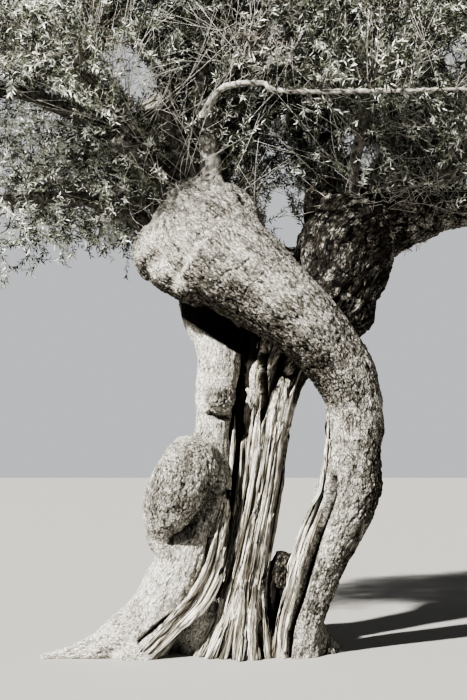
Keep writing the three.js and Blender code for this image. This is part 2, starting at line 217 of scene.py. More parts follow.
def limb(route, sides=6):
    """A round limb with flat ends: a curve with a bevel, whose points carry the radius."""
    rows = smooth(route)
    curve = bpy.data.curves.new("limb", "CURVE")
    curve.dimensions = "3D"
    curve.bevel_depth = 1
    curve.bevel_resolution = sides
    curve.use_fill_caps = True
    spline = curve.splines.new("POLY")
    spline.points.add(len(rows) - 1)
    for point, (x, y, z, radius) in zip(spline.points, rows):
        point.co = (x, y, z, 1)
        point.radius = radius
    made = bpy.data.objects.new("limb", curve)
    bpy.context.scene.collection.objects.link(made)
    return made


def lump(centre, radii, lean):
    """A rounded lump, leaning over to the right."""
    bpy.ops.mesh.primitive_ico_sphere_add(subdivisions=5, radius=1, location=centre, scale=radii,
                                          rotation=(0, lean, 0))
    return bpy.context.object


def join(name, parts):
    """Makes one mesh of several parts, with its place in the mesh."""
    select_only(*parts)
    bpy.ops.object.convert(target="MESH")
    bpy.ops.object.join()
    piece = bpy.context.object
    piece.name = name
    bpy.ops.object.transform_apply(location=True, rotation=True, scale=True)
    return piece


COARSE_FIRST = 2.2               # how much larger the first cells are than the last


def fuse(name, parts, voxel, rounds=5):
    """Grows the parts into one closed skin, first a coarse one whose joins are eased, then a fine one."""
    piece = join(name, parts)
    for size in (COARSE_FIRST * voxel, voxel):
        skin = piece.modifiers.new("skin", "REMESH")
        skin.mode = "VOXEL"
        skin.voxel_size = size
        bpy.ops.object.modifier_apply(modifier=skin.name)
        ease = piece.modifiers.new("ease", "SMOOTH")
        ease.iterations = rounds
        bpy.ops.object.modifier_apply(modifier=ease.name)
    return piece


def cut(piece, place=(0, 0, 0), keep=(0, 0, 1)):
    """Takes away what lies behind a plane, and closes the cut. By default the plane is the ground."""
    select_only(piece)
    bpy.ops.object.mode_set(mode="EDIT")
    bpy.ops.mesh.select_all(action="SELECT")
    bpy.ops.mesh.bisect(plane_co=place, plane_no=keep, clear_inner=True, use_fill=True)
    bpy.ops.object.mode_set(mode="OBJECT")


def skin_of(piece):
    """The places and outward directions of a piece's points."""
    count = len(piece.data.vertices)
    places = np.empty(count * 3)
    outward = np.empty(count * 3)
    piece.data.vertices.foreach_get("co", places)
    piece.data.vertex_normals.foreach_get("vector", outward)
    return places.reshape(-1, 3), outward.reshape(-1, 3)


def grain_of(places, route):
    """Each point's place along and across the limb that it belongs to: across, across, along."""
    rows = smooth(route)
    middles = rows[:, :3]
    along = unit(np.gradient(middles, axis=0))
    length = run_along(middles)
    side = unit(np.cross(along, (0, 1, 0)))
    back = np.cross(side, along)
    nearest = np.concatenate([
        np.argmin(np.linalg.norm(chunk[:, None] - middles[None], axis=2) - rows[:, 3], axis=1)
        for chunk in np.array_split(places, max(1, len(places) // 4000))])
    offset = places - middles[nearest]
    across, deep, onward = (np.einsum("ij,ij->i", offset, ways[nearest]) for ways in (side, back, along))
    return np.column_stack([across, deep, onward + length[nearest]])


def ripple(points, size, seed=0):
    """Smooth noise from -1 to 1, with lumps of the given size, which may differ by axis."""
    points = points / np.asarray(size, float)
    cell = np.floor(points).astype(np.int64)
    part = points - cell
    ease = part * part * (3 - 2 * part)
    total = np.zeros(len(points))
    for corner in np.ndindex(2, 2, 2):
        spot = cell + corner
        number = (spot[:, 0] * 73856093) ^ (spot[:, 1] * 19349663) ^ (spot[:, 2] * 83492791)
        number = ((number + seed * 668265263) * 1274126177) & 0xFFFFFFFF
        number = ((number ^ (number >> 15)) * 2246822519) & 0xFFFFFFFF
        share = ((number ^ (number >> 13)) & 0xFFFF) / 32767.5 - 1
        total += share * np.prod(np.where(corner, ease, 1 - ease), axis=1)
    return total


def plates(points, size, seed=0):
    """Bark plates of the given size: 0 in the seams between them to 1 on top, and each one's own lift."""
    points = points / np.asarray(size, float) + seed
    points += 0.45 * np.column_stack([ripple(points, 0.9, seed + k) for k in range(3)])
    tops = np.empty(len(points))
    lifts = np.empty(len(points))
    for i, point in enumerate(points):
        near, spots = noise.voronoi(point)
        tops[i] = near[1] - near[0]
        lifts[i] = noise.cell(spots[0] * 5.3)
    return np.clip(tops * 2.4, 0, 1), lifts


def paint(piece, **layers):
    """Stores values on a piece's points for its material to read."""
    for name, values in layers.items():
        kind, field = ("FLOAT_VECTOR", "vector") if values.ndim == 2 else ("FLOAT", "value")
        layer = piece.data.attributes.new(name, kind, "POINT")
        layer.data.foreach_set(field, values.astype(np.float32).ravel())


def carve(piece, heights):
    """Moves each point of a piece out along its normal."""
    places, outward = skin_of(piece)
    piece.data.vertices.foreach_set("co", (places + outward * heights[:, None]).ravel())
    piece.data.update()


def near(places, centre, radii, lean=0.0):
    """1 around a centre, fading smoothly to 0 at the edge of an ellipsoid that leans to the right."""
    x, y, z = (places - centre).T
    turned = np.column_stack([x * math.cos(lean) - z * math.sin(lean), y,
                              x * math.sin(lean) + z * math.cos(lean)])
    share = np.clip(1.6 * (1 - np.linalg.norm(turned / np.asarray(radii), axis=1)), 0, 1)
    return share * share * (3 - 2 * share)


def groove(places, outward, line):
    """1 along a line drawn on the side that faces the viewer, fading to 0 at its half width."""
    rows = smooth(line, 0.01)
    gap = np.full(len(places), 9.0)
    for x, _, z, half in rows:
        gap = np.minimum(gap, np.hypot(places[:, 0] - x, places[:, 2] - z) / half)
    return np.clip(1 - gap, 0, 1) * (outward[:, 1] < 0.1)


def cracks_in(points, size, width, seed):
    """1 along wandering cracks that are a share of the size wide, fading to 0 beside them."""
    return np.clip(1 - np.abs(ripple(points, size, seed)) / width, 0, 1)


BARK_PLATE = (0.026, 0.026, 0.044)
BARK_CRACK = (0.05, 0.05, 0.13)
BARK_PIT = (0.026, 0.026, 0.05)
CRACK_DEPTH = 0.008
PIT_DEPTH = 0.012


def bark_relief(piece, route, coarse, folds=0.010):
    """Old olive bark: slow lumps, folds and cracks along the grain, and plates, coarser where asked.

    Gives the height of each point, how clear it is of the dark seams, and its place in the grain."""
    places, _ = skin_of(piece)
    grain = grain_of(places, route)
    height = 0.018 * ripple(places, 0.34, 3) + 0.009 * ripple(places, 0.15, 4)
    height += folds * ripple(grain, (0.07, 0.07, 0.5), 5)
    height += 0.5 * folds * ripple(grain, (0.032, 0.032, 0.14), 6)
    tops, lifts = plates(grain, BARK_PLATE, 7)
    height += (tops - 0.7) * (0.002 + 0.005 * coarse) + (lifts - 0.5) * (0.002 + 0.006 * coarse)
    height += ripple(places, 0.021, 8) * (0.002 + 0.004 * coarse)
    cracks = cracks_in(grain, BARK_CRACK, 0.13, 10) * (0.3 + 0.7 * coarse)
    pits = np.clip(2.4 * ripple(grain, BARK_PIT, 11) - 1.2, 0, 1) * coarse
    seams = np.clip(1 - (1 - tops) * (0.25 + 0.6 * coarse) - 0.8 * cracks - 1.2 * pits, 0, 1)
    return height - CRACK_DEPTH * cracks - PIT_DEPTH * pits, seams, grain


left_trunk = fuse("left_trunk", [limb(LEFT_STEM), limb(LEFT_ROOT), lump(*BURL), lump(*BURL_CHEEK),
                                 lump(*BURL_SHOULDER), lump(*BURL_NECK), lump(*STEM_KNOT),
                                 *map(limb, LEFT_SPURS)], LEFT_VOXEL)
places, outward = skin_of(left_trunk)
on_burl = near(places, BURL[0], (0.46, 0.7, 0.70), 0.5)
on_knot = near(places, STEM_KNOT[0], (0.24, 0.3, 0.22))
coarse = 0.07 + 0.46 * on_burl + 0.35 * on_knot
LEFT_GRAIN = [*LEFT_ROOT[:2:-1], *LEFT_STEM[1:]]
height, seams, grain = bark_relief(left_trunk, LEFT_GRAIN, coarse)
height += 0.010 * on_burl * ripple(places, 0.11, 9)
seam_line = groove(places, outward, BARK_SEAM)
lips_and_painted_shade = np.maximum(groove(places, outward, BURL_LIP), groove(places, outward, KNOT_LIP))
recess_and_painted_shadow = groove(places, outward, HEAD_RECESS_SHADOW)
carve(left_trunk, height - SEAM_DEPTH * seam_line - LIP_DEPTH * np.sqrt(lips_and_painted_shade) - RECESS_DEPTH * recess_and_painted_shadow)
# Painted shade: the seams are darkened along the burl and knot lips, and a painted shadow darkens the stem
# under the head.
seams *= (1 - seam_line) * (1 - 0.85 * lips_and_painted_shade) * (1 - np.clip(4 * recess_and_painted_shadow, 0, 0.92))
paint(left_trunk, seams=seams, grain=grain, coarse=coarse)
cut(left_trunk)


WANDER_PER_METRE = 30
WANDER_REACH = (0.035, 0.035, 0.055)
PLATE_STRETCH = (1, 1, 0.42)     # a plate is more than twice as long as it is wide
FLECKS_PER_METRE = 120
STREAKS_PER_METRE = (62, 62, 13)
DRIFTS_PER_METRE = 6.5


def bark_material(name, high, low, seam, cell=0.018, contrast=1.0, drifts=1.0):
    """Living olive bark: small hard plates with darker seams, drawn out along the limb, dry and matt.

    Each plate, cell wide in metres, has its own tone, in drifts of pale and darker bark about 150 mm
    wide, with streaks of 16 by 77 mm and flecks of 8 mm. Where the bark is coarse it is darker, and its
    seams are nearly black. Less contrast makes the seams paler, and more drifts make the bark patchier."""
    material, surface = new_material(name)
    body = node(material, "TexCoord").outputs["Object"]
    grain = node(material, "Attribute", attribute_name="grain").outputs["Vector"]
    carved = node(material, "Attribute", attribute_name="seams").outputs["Fac"]
    coarse = node(material, "Attribute", attribute_name="coarse").outputs["Fac"]
    wander = node(material, "TexNoise", [(body, "Vector")], scale=WANDER_PER_METRE, detail=4,
                  roughness=0.65)
    bent = node(material, "VectorMath",
                [(wander.outputs["Color"], 0), (WANDER_REACH, 1), (grain, 2)],
                operation="MULTIPLY_ADD").outputs[0]
    run = node(material, "Mapping", [(bent, "Vector"), (PLATE_STRETCH, "Scale")]).outputs[0]
    drawn = node(material, "Mapping", [(bent, "Vector"), (STREAKS_PER_METRE, "Scale")]).outputs[0]
    edges = node(material, "TexVoronoi", [(run, "Vector")], feature="DISTANCE_TO_EDGE",
                 scale=1 / cell).outputs["Distance"]
    cells = node(material, "TexVoronoi", [(run, "Vector")], scale=1 / cell).outputs["Color"]
    patches = node(material, "TexNoise", [(body, "Vector")], scale=DRIFTS_PER_METRE, detail=5,
                   roughness=0.6).outputs["Fac"]
    flecks = node(material, "TexNoise", [(run, "Vector")], scale=FLECKS_PER_METRE, detail=5,
                  roughness=0.75).outputs["Fac"]
    streaks = node(material, "TexNoise", [(drawn, "Vector")], scale=1, detail=4,
                   roughness=0.75).outputs["Fac"]
    toned = flecks
    for pattern, share in ((streaks, 0.9), (patches, drifts), (cells, 0.22), (coarse, -0.5)):
        toned = node(material, "Math", [(pattern, 0), (share, 1), (toned, 2)],
                     operation="MULTIPLY_ADD").outputs[0]
    middle = 0.85 + 0.5 * drifts     # near the mean of this sum on bark of middling coarseness
    tone = node(material, "MapRange", [(toned, "Value")], from_min=middle - 0.22,
                from_max=middle + 0.21).outputs[0]
    bark = node(material, "Mix", [(tone, "Factor"), (linear(low), 6), (linear(high), 7)],
                data_type="RGBA").outputs[2]
    shallow = node(material, "MapRange", [(coarse, "Value")], to_min=1 - 0.62 * contrast,
                   to_max=1 - contrast).outputs[0]
    fine_seam = node(material, "MapRange", [(edges, "Value"), (shallow, "To Min")], from_min=0.01,
                     from_max=0.15).outputs[0]
    deep_seam = node(material, "MapRange", [(carved, "Value")], from_min=0.1,
                     from_max=0.72).outputs[0]
    hairs = node(material, "MapRange", [(streaks, "Value")], from_min=0.36, from_max=0.46,
                 to_min=1 - 0.85 * contrast).outputs[0]
    clear = fine_seam
    for mask in (deep_seam, hairs):
        clear = node(material, "Math", [(clear, 0), (mask, 1)], operation="MULTIPLY").outputs[0]
    colour = node(material, "Mix", [(clear, "Factor"), (linear(seam), 6), (bark, 7)],
                  data_type="RGBA").outputs[2]
    rise = node(material, "Math", [(flecks, 0), (2.8, 1), (fine_seam, 2)],
                operation="MULTIPLY_ADD").outputs[0]
    bump = node(material, "Bump", [(rise, "Height")], strength=1.0, distance=0.007).outputs[0]
    feed(surface, [(colour, "Base Color"), (bump, "Normal"), (0.9, "Roughness"),
                   (0.25, "Specular IOR Level")])
    return material


def finish_wood(piece, material, slot, *nodes):
    """Gives a piece of wood its surface, and lets it stand for the named nodes."""
    if not piece.data.materials:
        piece.data.materials.append(material)
    select_only(piece)
    bpy.ops.object.shade_smooth()
    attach(piece, "root")
    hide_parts(*nodes)


old_bark = bark_material("old granular olive bark", "f5f1e7", "777166", "151310")
finish_wood(left_trunk, old_bark, "trunk_bark", "trunk_foot", "left_stem", "left_root", "burl", "stem_knot")

# The right trunk: a stem that leans out, bends at an elbow and crosses back over the others as a massive
# bough, and swells into the pollarded head with its round knob. One run of living bark covers all of it.
RIGHT_STEM = [(0.52, 0.04, -0.06, 0.26), (0.58, 0.03, 0.26, 0.205), (0.69, 0.015, 0.60, 0.22),
              (0.80, 0.00, 0.90, 0.255), (0.93, -0.02, 1.18, 0.28), (1.03, -0.04, 1.45, 0.29),
              (1.08, -0.06, 1.78, 0.255), (1.08, -0.08, 2.14, 0.25), (1.01, -0.115, 2.41, 0.278),
              (0.905, -0.16, 2.58, 0.292), (0.76, -0.215, 2.755, 0.312), (0.59, -0.27, 2.915, 0.335),
              (0.35, -0.30, 3.11, 0.37), (0.08, -0.29, 3.35, 0.43), (-0.16, -0.25, 3.57, 0.46)]
RIGHT_SPURS = [[(0.60, 0.06, 0.30, 0.16), (0.76, 0.13, 0.06, 0.15), (0.96, 0.22, -0.06, 0.08)],
               [(0.50, 0.10, 0.30, 0.17), (0.60, 0.33, 0.06, 0.16), (0.72, 0.54, -0.06, 0.08)]]
HEAD = ((-0.24, -0.20, 3.70), (0.53, 0.38, 0.50), -0.55)
HEAD_CROWN = ((-0.33, -0.12, 4.01), (0.30, 0.27, 0.26), 0)
HEAD_CHIN = ((-0.58, -0.20, 3.33), (0.19, 0.22, 0.15), 0.5)
HEAD_JAW = ((-0.37, -0.20, 3.24), (0.24, 0.24, 0.17), 0.25)
HEAD_KNOB = ((-0.73, -0.14, 3.56), (0.185, 0.20, 0.27), 0.1)
CREVICE_LUMP = ((0.44, -0.02, 0.72), (0.085, 0.10, 0.19), 0)
ELBOW = (1.01, -0.115, 2.41)
ONWARD_AT_ELBOW = (-0.49, -0.19, 0.85)
RIB_CRACK = [(0.88, 0, 1.54, 0.02), (0.835, 0, 1.34, 0.04), (0.745, 0, 1.09, 0.045), (0.655, 0, 0.816, 0.05),
             (0.58, 0, 0.53, 0.045), (0.49, 0, 0.27, 0.04), (0.47, 0, 0.02, 0.035)]
BOUGH_CRACKS = [[(0.055, 0, 3.03, 0.012), (0.13, 0, 3.15, 0.016), (0.17, 0, 3.17, 0.014),
                 (0.259, 0, 3.264, 0.010)],
                [(-0.18, 0, 3.17, 0.010), (-0.06, 0, 3.27, 0.014), (0.04, 0, 3.30, 0.014),
                 (0.14, 0, 3.39, 0.010)]]
RIGHT_VOXEL = 0.0103
BOUGH_CRACK_DEPTH = 0.012
RIB_CRACK_DEPTH = 0.10

right_trunk = fuse("right_trunk", [limb(RIGHT_STEM), lump(*HEAD), lump(*HEAD_CROWN), lump(*HEAD_KNOB),
                                   lump(*HEAD_CHIN), lump(*HEAD_JAW), lump(*CREVICE_LUMP),
                                   *map(limb, RIGHT_SPURS)], RIGHT_VOXEL)

# The bark is coarse underneath, at the elbow, along the outer bend and on the lump in the crevice, and it is
# finer on the face of the head. Coarse bark is also darker, so underneath this is partly painted shade.
places, outward = skin_of(right_trunk)
underside_coarse_shade = np.clip(-outward[:, 2] - 0.15, 0, 1)
# Painted shade: the undersides get coarser, darker bark.
coarse = 0.27 + 0.2 * ripple(places, 0.5, 11) + 0.8 * underside_coarse_shade
coarse += 0.1 * near(places, (0.95, -0.3, 2.5), (0.7, 0.9, 0.7))
coarse += 0.5 * near(places, (1.3, 0, 1.6), (0.42, 0.6, 0.6))
coarse += near(places, CREVICE_LUMP[0], (0.2, 0.2, 0.4))
coarse = np.clip(coarse - 0.15 * near(places, (-0.6, -0.35, 3.8), (0.5, 0.6, 0.55)), 0, 1)
height, seams, grain = bark_relief(right_trunk, RIGHT_STEM, coarse)
cracks = np.maximum.reduce([groove(places, outward, line) for line in BOUGH_CRACKS])
rib_crack_shade = groove(places, outward, RIB_CRACK)
carve(right_trunk, height - BOUGH_CRACK_DEPTH * cracks - RIB_CRACK_DEPTH * np.sqrt(rib_crack_shade))
# Painted shade: the deep crack beside the right rib is carved and also painted black.
paint(right_trunk, seams=seams * (1 - 0.6 * cracks) * (1 - rib_crack_shade), grain=grain, coarse=coarse)
cut(right_trunk)
bpy.ops.object.duplicate()
bough_and_head = bpy.context.object
bough_and_head.name = "bough_and_head"
cut(bough_and_head, ELBOW, ONWARD_AT_ELBOW)
cut(right_trunk, ELBOW, [-step for step in ONWARD_AT_ELBOW])
finish_wood(right_trunk, old_bark, "trunk_bark", "right_stem")
finish_wood(bough_and_head, old_bark, "trunk_bark", "crossing_bough", "pollard_head", "head_knob")

# The rear bough: a thick, rough limb that the old core carries off to the right behind the crossing bough,
# with a swollen elbow, a sawn stump on top, and a long arm that runs out level. Its bark is dark, partly its
# own tone and partly painted shade, with pale drifts that are painted sun dapples.
REAR_BOUGH = [(0.56, 0.32, 2.78, 0.31), (0.76, 0.36, 3.02, 0.37), (0.95, 0.41, 3.33, 0.44),
              (1.08, 0.455, 3.72, 0.49), (1.16, 0.495, 4.13, 0.43)]
REAR_ARM = [(1.15, 0.50, 3.96, 0.41), (1.48, 0.53, 3.99, 0.35), (1.78, 0.58, 4.11, 0.285),
            (2.09, 0.62, 4.18, 0.225), (2.50, 0.68, 4.225, 0.19), (3.07, 0.75, 4.35, 0.155),
            (3.50, 0.84, 4.48, 0.115)]
STUB_REAR = [(0.85, 0.40, 3.95, 0.20), (0.825, 0.385, 4.20, 0.17), (0.835, 0.375, 4.39, 0.165)]
REAR_SWELL = ((1.05, 0.39, 3.14), (0.325, 0.34, 0.335), 0)
DARK_VOXEL = 0.0135
DARK_COARSENESS = 0.9            # how coarse the bark's relief is
DARK_LUMPS = 0.018               # height of its lumps, which are 90 mm wide
ARM_START = 1.4                  # the arm's bark is paler from here on, and fully so
ARM_FADE = 0.3                   # after this stretch
ARM_PALER = 0.45

dark_limb = fuse("dark_limb", [limb(REAR_BOUGH), limb(REAR_ARM), limb(STUB_REAR), lump(*REAR_SWELL)],
                 DARK_VOXEL)
places, _ = skin_of(dark_limb)
coarse = np.full(len(places), DARK_COARSENESS)
height, seams, grain = bark_relief(dark_limb, [*REAR_BOUGH[:4], *REAR_ARM[1:]], coarse, folds=0.018)
carve(dark_limb, height + DARK_LUMPS * ripple(places, 0.09, 12))
on_arm = np.clip((places[:, 0] - ARM_START) / ARM_FADE, 0, 1)
paint(dark_limb, seams=seams, grain=grain, coarse=coarse - ARM_PALER * on_arm)
# Painted shade and light: the bark is darkened for the crown's shade, and the strong drifts paint pale
# patches as sun dapples.
dark_bark = bark_material("dark olive bark with painted shade and dapples", "e6e1d6", "4e4941", "12100d", cell=0.026,
                          contrast=0.9, drifts=2.2)
finish_wood(dark_limb, dark_bark, "trunk_bark", "rear_bough", "rear_arm", "stub_rear")

# The heartwood: the dead, bare core of the old trunk. It leans to the right, split along its twisted
# grain into sheets with dark cracks between them, and its outer strips end in torn points.
HEARTWOOD = [(0.045, 0.09, -0.06, 0.285), (0.065, 0.09, 0.29, 0.24), (0.09, 0.105, 0.56, 0.215),
             (0.13, 0.12, 0.80, 0.198), (0.19, 0.14, 1.16, 0.194), (0.247, 0.16, 1.52, 0.20),
             (0.29, 0.18, 1.88, 0.205), (0.345, 0.21, 2.25, 0.235), (0.405, 0.25, 2.53, 0.285),
             (0.60, 0.33, 2.88, 0.34)]
TWIST = 0.5                      # radians that the grain turns from the ground to the top
HOLLOW = [(0.47, 0, 2.64, 0.06), (0.40, 0, 2.46, 0.065), (0.31, 0, 2.27, 0.06), (0.22, 0, 2.08, 0.055),
          (0.15, 0, 1.90, 0.03)]
HOLLOW_SLOT = [(0.277, 0, 2.70, 0.035), (0.267, 0, 2.42, 0.032), (0.284, 0, 2.18, 0.03)]
# A painted shadow of the crossing bough on the core's top right: a line along which the wood is darkened.
BOUGH_SHADOW_PATCH = [(0.66, 0, 2.62, 0.13), (0.62, 0, 2.44, 0.11), (0.575, 0, 2.24, 0.05)]
CORE_LENGTH = 2.9                # along the grain, from the ground to the top
SHEETS = 17
HOLLOW_DEPTH = 0.14
CORE_SIDES = 320
CORE_STEP = 0.018
STRIP_TAPER = (0.35, 1, 1.25)    # width of a foot strip at its top, its middle and the ground
FOOT_STRIPS = [((0.02, -0.06, 0.62), (-0.07, -0.10, 0.34), (-0.22, -0.17, -0.06), 0.040),
               ((0.05, -0.10, 0.55), (-0.01, -0.13, 0.30), (-0.11, -0.21, -0.06), 0.038),
               ((0.11, -0.12, 0.66), (0.07, -0.15, 0.36), (0.00, -0.25, -0.06), 0.044),
               ((0.18, -0.11, 0.60), (0.16, -0.16, 0.30), (0.14, -0.27, -0.06), 0.046),
               ((0.27, -0.05, 0.56), (0.28, -0.09, 0.28), (0.30, -0.18, -0.06), 0.044),
               ((-0.03, 0.00, 0.52), (-0.15, -0.02, 0.28), (-0.33, -0.06, -0.06), 0.050)]


def column(rows, facing, flat, around):
    """A closed limb with an oval section: its points, their outward directions, grain, and faces.

    rows are x, y, z and half width; facing is where the flat side looks, and flat its thickness."""
    middles, half = rows[:, :3], rows[:, 3:]
    along = unit(np.gradient(middles, axis=0))
    side = unit(np.cross(along, facing))
    out = np.cross(side, along)
    length = run_along(middles)
    turn = np.arange(around) * math.tau / around
    ring = side[:, None] * np.cos(turn)[:, None] + out[:, None] * np.sin(turn)[:, None] * flat
    across = np.stack([np.cos(turn) * half, np.sin(turn) * flat * half,
                       np.broadcast_to(length[:, None], (len(rows), around))], axis=-1)
    places = middles[:, None] + ring * half[:, None]
    first = (np.arange(len(rows) - 1) * around)[:, None]
    a = np.arange(around)
    b = (a + 1) % around
    walls = np.stack([first + b, first + a, first + around + a, first + around + b], axis=-1).reshape(-1, 4)
    last = (len(rows) - 1) * around
    caps = [np.arange(around)[None], (last + np.arange(around)[::-1])[None]]
    return places.reshape(-1, 3), unit(ring).reshape(-1, 3), across.reshape(-1, 3), [walls, *caps]


def mesh_of(name, places, faces, tones=None):
    """A mesh from arrays of points and of faces with equal corners."""
    mesh = bpy.data.meshes.new(name)
    mesh.vertices.add(len(places))
    mesh.vertices.foreach_set("co", places.astype(np.float32).ravel())
    corners = np.concatenate([f.ravel() for f in faces])
    sizes = np.concatenate([np.full(len(f), f.shape[1]) for f in faces])
    mesh.loops.add(len(corners))
    mesh.loops.foreach_set("vertex_index", corners.astype(np.int32))
    mesh.polygons.add(len(sizes))
    starts = np.concatenate([[0], np.cumsum(sizes)[:-1]])
    mesh.polygons.foreach_set("loop_start", starts.astype(np.int32))
    if tones is not None:
        mesh.polygons.foreach_set("material_index", tones.astype(np.int32))
    mesh.update(calc_edges=True)
    made = bpy.data.objects.new(name, mesh)
    bpy.context.scene.collection.objects.link(made)
    return made


SHEET_SIZE = (0.11, 0.11, 1.0)
FIBRE_SIZE = (0.022, 0.022, 1.1)
WIDE_CRACK = (0.056, 0.056, 1.5)
SMALL_CRACK = (0.03, 0.03, 0.9)
LEDGE_RISE = 0.024
FIBRE_RISE = 0.004
WIDE_DEPTH = 0.055
SMALL_DEPTH = 0.02
BREAK_DEPTH = 0.018


def split_wood(grain, seed, depth=1.0):
    """Dead wood split along its grain: how high each point stands, and how open it is to light.

    Sheets rise slowly to one side and break off in a ledge, and cracks of two sizes run along them."""
    sheet = 2.2 * ripple(grain, SHEET_SIZE, seed) + ripple(grain, (0.05, 0.05, 0.45), seed + 1)
    sheet += 9 * grain[:, 0]
    ledge = sheet - np.floor(sheet)
    ledge = np.where(ledge < 0.86, ledge / 0.86, (1 - ledge) / 0.14)
    fibres = ripple(grain, FIBRE_SIZE, seed + 2) + 0.7 * ripple(grain, (0.011, 0.011, 0.5), seed + 3)
    wide = cracks_in(grain, WIDE_CRACK, 0.15, seed + 4)
    wide *= np.clip(1.0 + 1.8 * ripple(grain, (0.15, 0.15, 0.7), seed + 5), 0, 1)
    small = cracks_in(grain, SMALL_CRACK, 0.16, seed + 6)
    small *= np.clip(0.4 + 2 * ripple(grain, (0.1, 0.1, 0.4), seed + 7), 0, 1)
    broken = np.clip(9 * (ripple(grain, (0.075, 0.075, 0.30), seed + 8) - 0.12), 0, 1)
    rim = 4 * broken * (1 - broken)
    rise = LEDGE_RISE * (ledge - 0.5) + FIBRE_RISE * fibres
    fall = WIDE_DEPTH * np.sqrt(wide) + SMALL_DEPTH * small + BREAK_DEPTH * broken
    return depth * (rise - fall), np.clip(1 - 1.5 * wide - 0.9 * small - 0.5 * rim, 0, 1)


def dead_limb(name, rows, facing, flat, around, seed, depth=1.0, twist=0.0):
    """One closed run of split dead wood, cut flat at the ground."""
    places, outward, grain, faces = column(rows, facing, flat, around)
    turn = twist * grain[:, 2]
    turned = np.column_stack([grain[:, 0] * np.cos(turn) - grain[:, 1] * np.sin(turn),
                              grain[:, 0] * np.sin(turn) + grain[:, 1] * np.cos(turn), grain[:, 2]])
    height, light = split_wood(turned + seed, seed, depth)
    if name == "core":
        hollow = np.maximum(groove(places, outward, HOLLOW), groove(places, outward, HOLLOW_SLOT))
        height -= HOLLOW_DEPTH * np.sqrt(hollow)
        # The hollow is carved, and its wood is also darkened as painted shade.
        light *= 1 - np.clip(2.5 * hollow, 0, 0.85)
        # Painted shadow: the core's top right is darkened where the crossing bough's shadow falls.
        light *= 1 - np.clip(2 * groove(places, outward, BOUGH_SHADOW_PATCH), 0, 0.75)
    piece = mesh_of(name, places + outward * height[:, None], faces)
    paint(piece, grain=turned + seed, light=light)
    if places[:, 2].min() < 0:
        cut(piece)
    return piece


def leaning_strip(number, dice):
    """The rows and facing of one strip that follows the core's surface for part of its height."""
    core = smooth(HEARTWOOD, 0.02)
    low = 0.0 if number % 3 else dice.uniform(0.15, 0.5)
    high = dice.uniform(0.45, 0.97)
    turn = math.tau * (number + dice.uniform(-0.3, 0.3)) / SHEETS
    phase = dice.uniform(0, math.tau)
    half = dice.uniform(0.026, 0.046)
    rows, facing = [], []
    for t in np.linspace(low, high, 60):
        x, y, z, radius = core[min(len(core) - 1, round(t * (len(core) - 1)))]
        angle = turn + TWIST * t + 0.05 * math.sin(9 * t + phase)
        way = np.array([math.cos(angle), math.sin(angle), 0])
        flare = 1 + 0.5 * max(0, 0.12 - t) / 0.12
        reach = radius * flare * (1.0 + 0.03 * math.sin(13 * t + phase))
        narrow = min(1, (high - t) / 0.12 + 0.05, (t - low) / 0.08 + 0.1 if low else 1)
        rows.append([x + reach * way[0], y + reach * way[1], z, half * narrow])
        facing.append(way)
    return np.array(rows), np.array(facing)


dice = np.random.default_rng(21)
core = dead_limb("core", smooth(HEARTWOOD, CORE_STEP), (0, -1, 0), 1, CORE_SIDES, 31,
                 twist=TWIST / CORE_LENGTH)
strips = [dead_limb("strip", *leaning_strip(k, dice), 0.45, 24, 40 + k, depth=0.5) for k in range(SHEETS)]
for k, (*stations, half) in enumerate(FOOT_STRIPS):
    rows = smooth([(*station, half * width) for station, width in zip(stations, STRIP_TAPER)], 0.02)
    strips.append(dead_limb("strip", rows, (-0.3, -1, 0.2), 0.55, 22, 70 + k, depth=0.5))
dead_core = join("dead_core", [core, *strips])


WEATHERED_FIBRES = (75, 75, 1.7)          # noise cells in a metre, across and along the grain
WEATHERED_PATCHES = (12, 12, 1.2)


def dead_material(name, high, low, dark):
    """Bare dead wood, weathered silver grey, and split along its grain.

    Fibres about 13 mm wide and 600 mm long alternate pale and darker, with hairlines of 5 mm between
    them, and the cracks are dark. The eye reads it as dry, hard and matt."""
    material, surface = new_material(name)
    grain = node(material, "Attribute", attribute_name="grain").outputs["Vector"]
    light = node(material, "Attribute", attribute_name="light").outputs["Fac"]
    run = node(material, "Mapping", [(grain, "Vector"), (WEATHERED_FIBRES, "Scale")]).outputs[0]
    broad = node(material, "Mapping", [(grain, "Vector"), (WEATHERED_PATCHES, "Scale")]).outputs[0]
    streaks = node(material, "TexNoise", [(run, "Vector")], scale=1, detail=5,
                   roughness=0.7).outputs["Fac"]
    hairs = node(material, "TexNoise", [(run, "Vector")], scale=2.6, detail=3,
                 roughness=0.8).outputs["Fac"]
    patches = node(material, "TexNoise", [(broad, "Vector")], scale=1, detail=2).outputs["Fac"]
    mixed = node(material, "Math", [(streaks, 0), (patches, 1)], operation="ADD").outputs[0]
    pale = node(material, "MapRange", [(mixed, "Value")], from_min=0.84, from_max=1.12).outputs[0]
    wood = node(material, "Mix", [(pale, "Factor"), (linear(low), 6), (linear(high), 7)],
                data_type="RGBA").outputs[2]
    hairline = node(material, "MapRange", [(hairs, "Value")], from_min=0.39,
                    from_max=0.50).outputs[0]
    # Painted shade: the light attribute darkens the cracks, the rims of broken wood, the core's hollow and
    # its painted bough shadow.
    clear = node(material, "Math", [(hairline, 0), (light, 1)], operation="MULTIPLY").outputs[0]
    colour = node(material, "Mix", [(clear, "Factor"), (linear(dark), 6), (wood, 7)],
                  data_type="RGBA").outputs[2]
    rise = node(material, "Math", [(streaks, 0), (hairline, 1)], operation="ADD").outputs[0]
    bump = node(material, "Bump", [(rise, "Height")], strength=1.0, distance=0.005).outputs[0]
    feed(surface, [(colour, "Base Color"), (bump, "Normal"), (0.85, "Roughness"),
                   (0.3, "Specular IOR Level")])
    return material


silver_wood = dead_material("bare silvered heartwood", "f0ebdf", "6c6558", "0d0b09")
finish_wood(dead_core, silver_wood, "dead_wood", "heartwood")
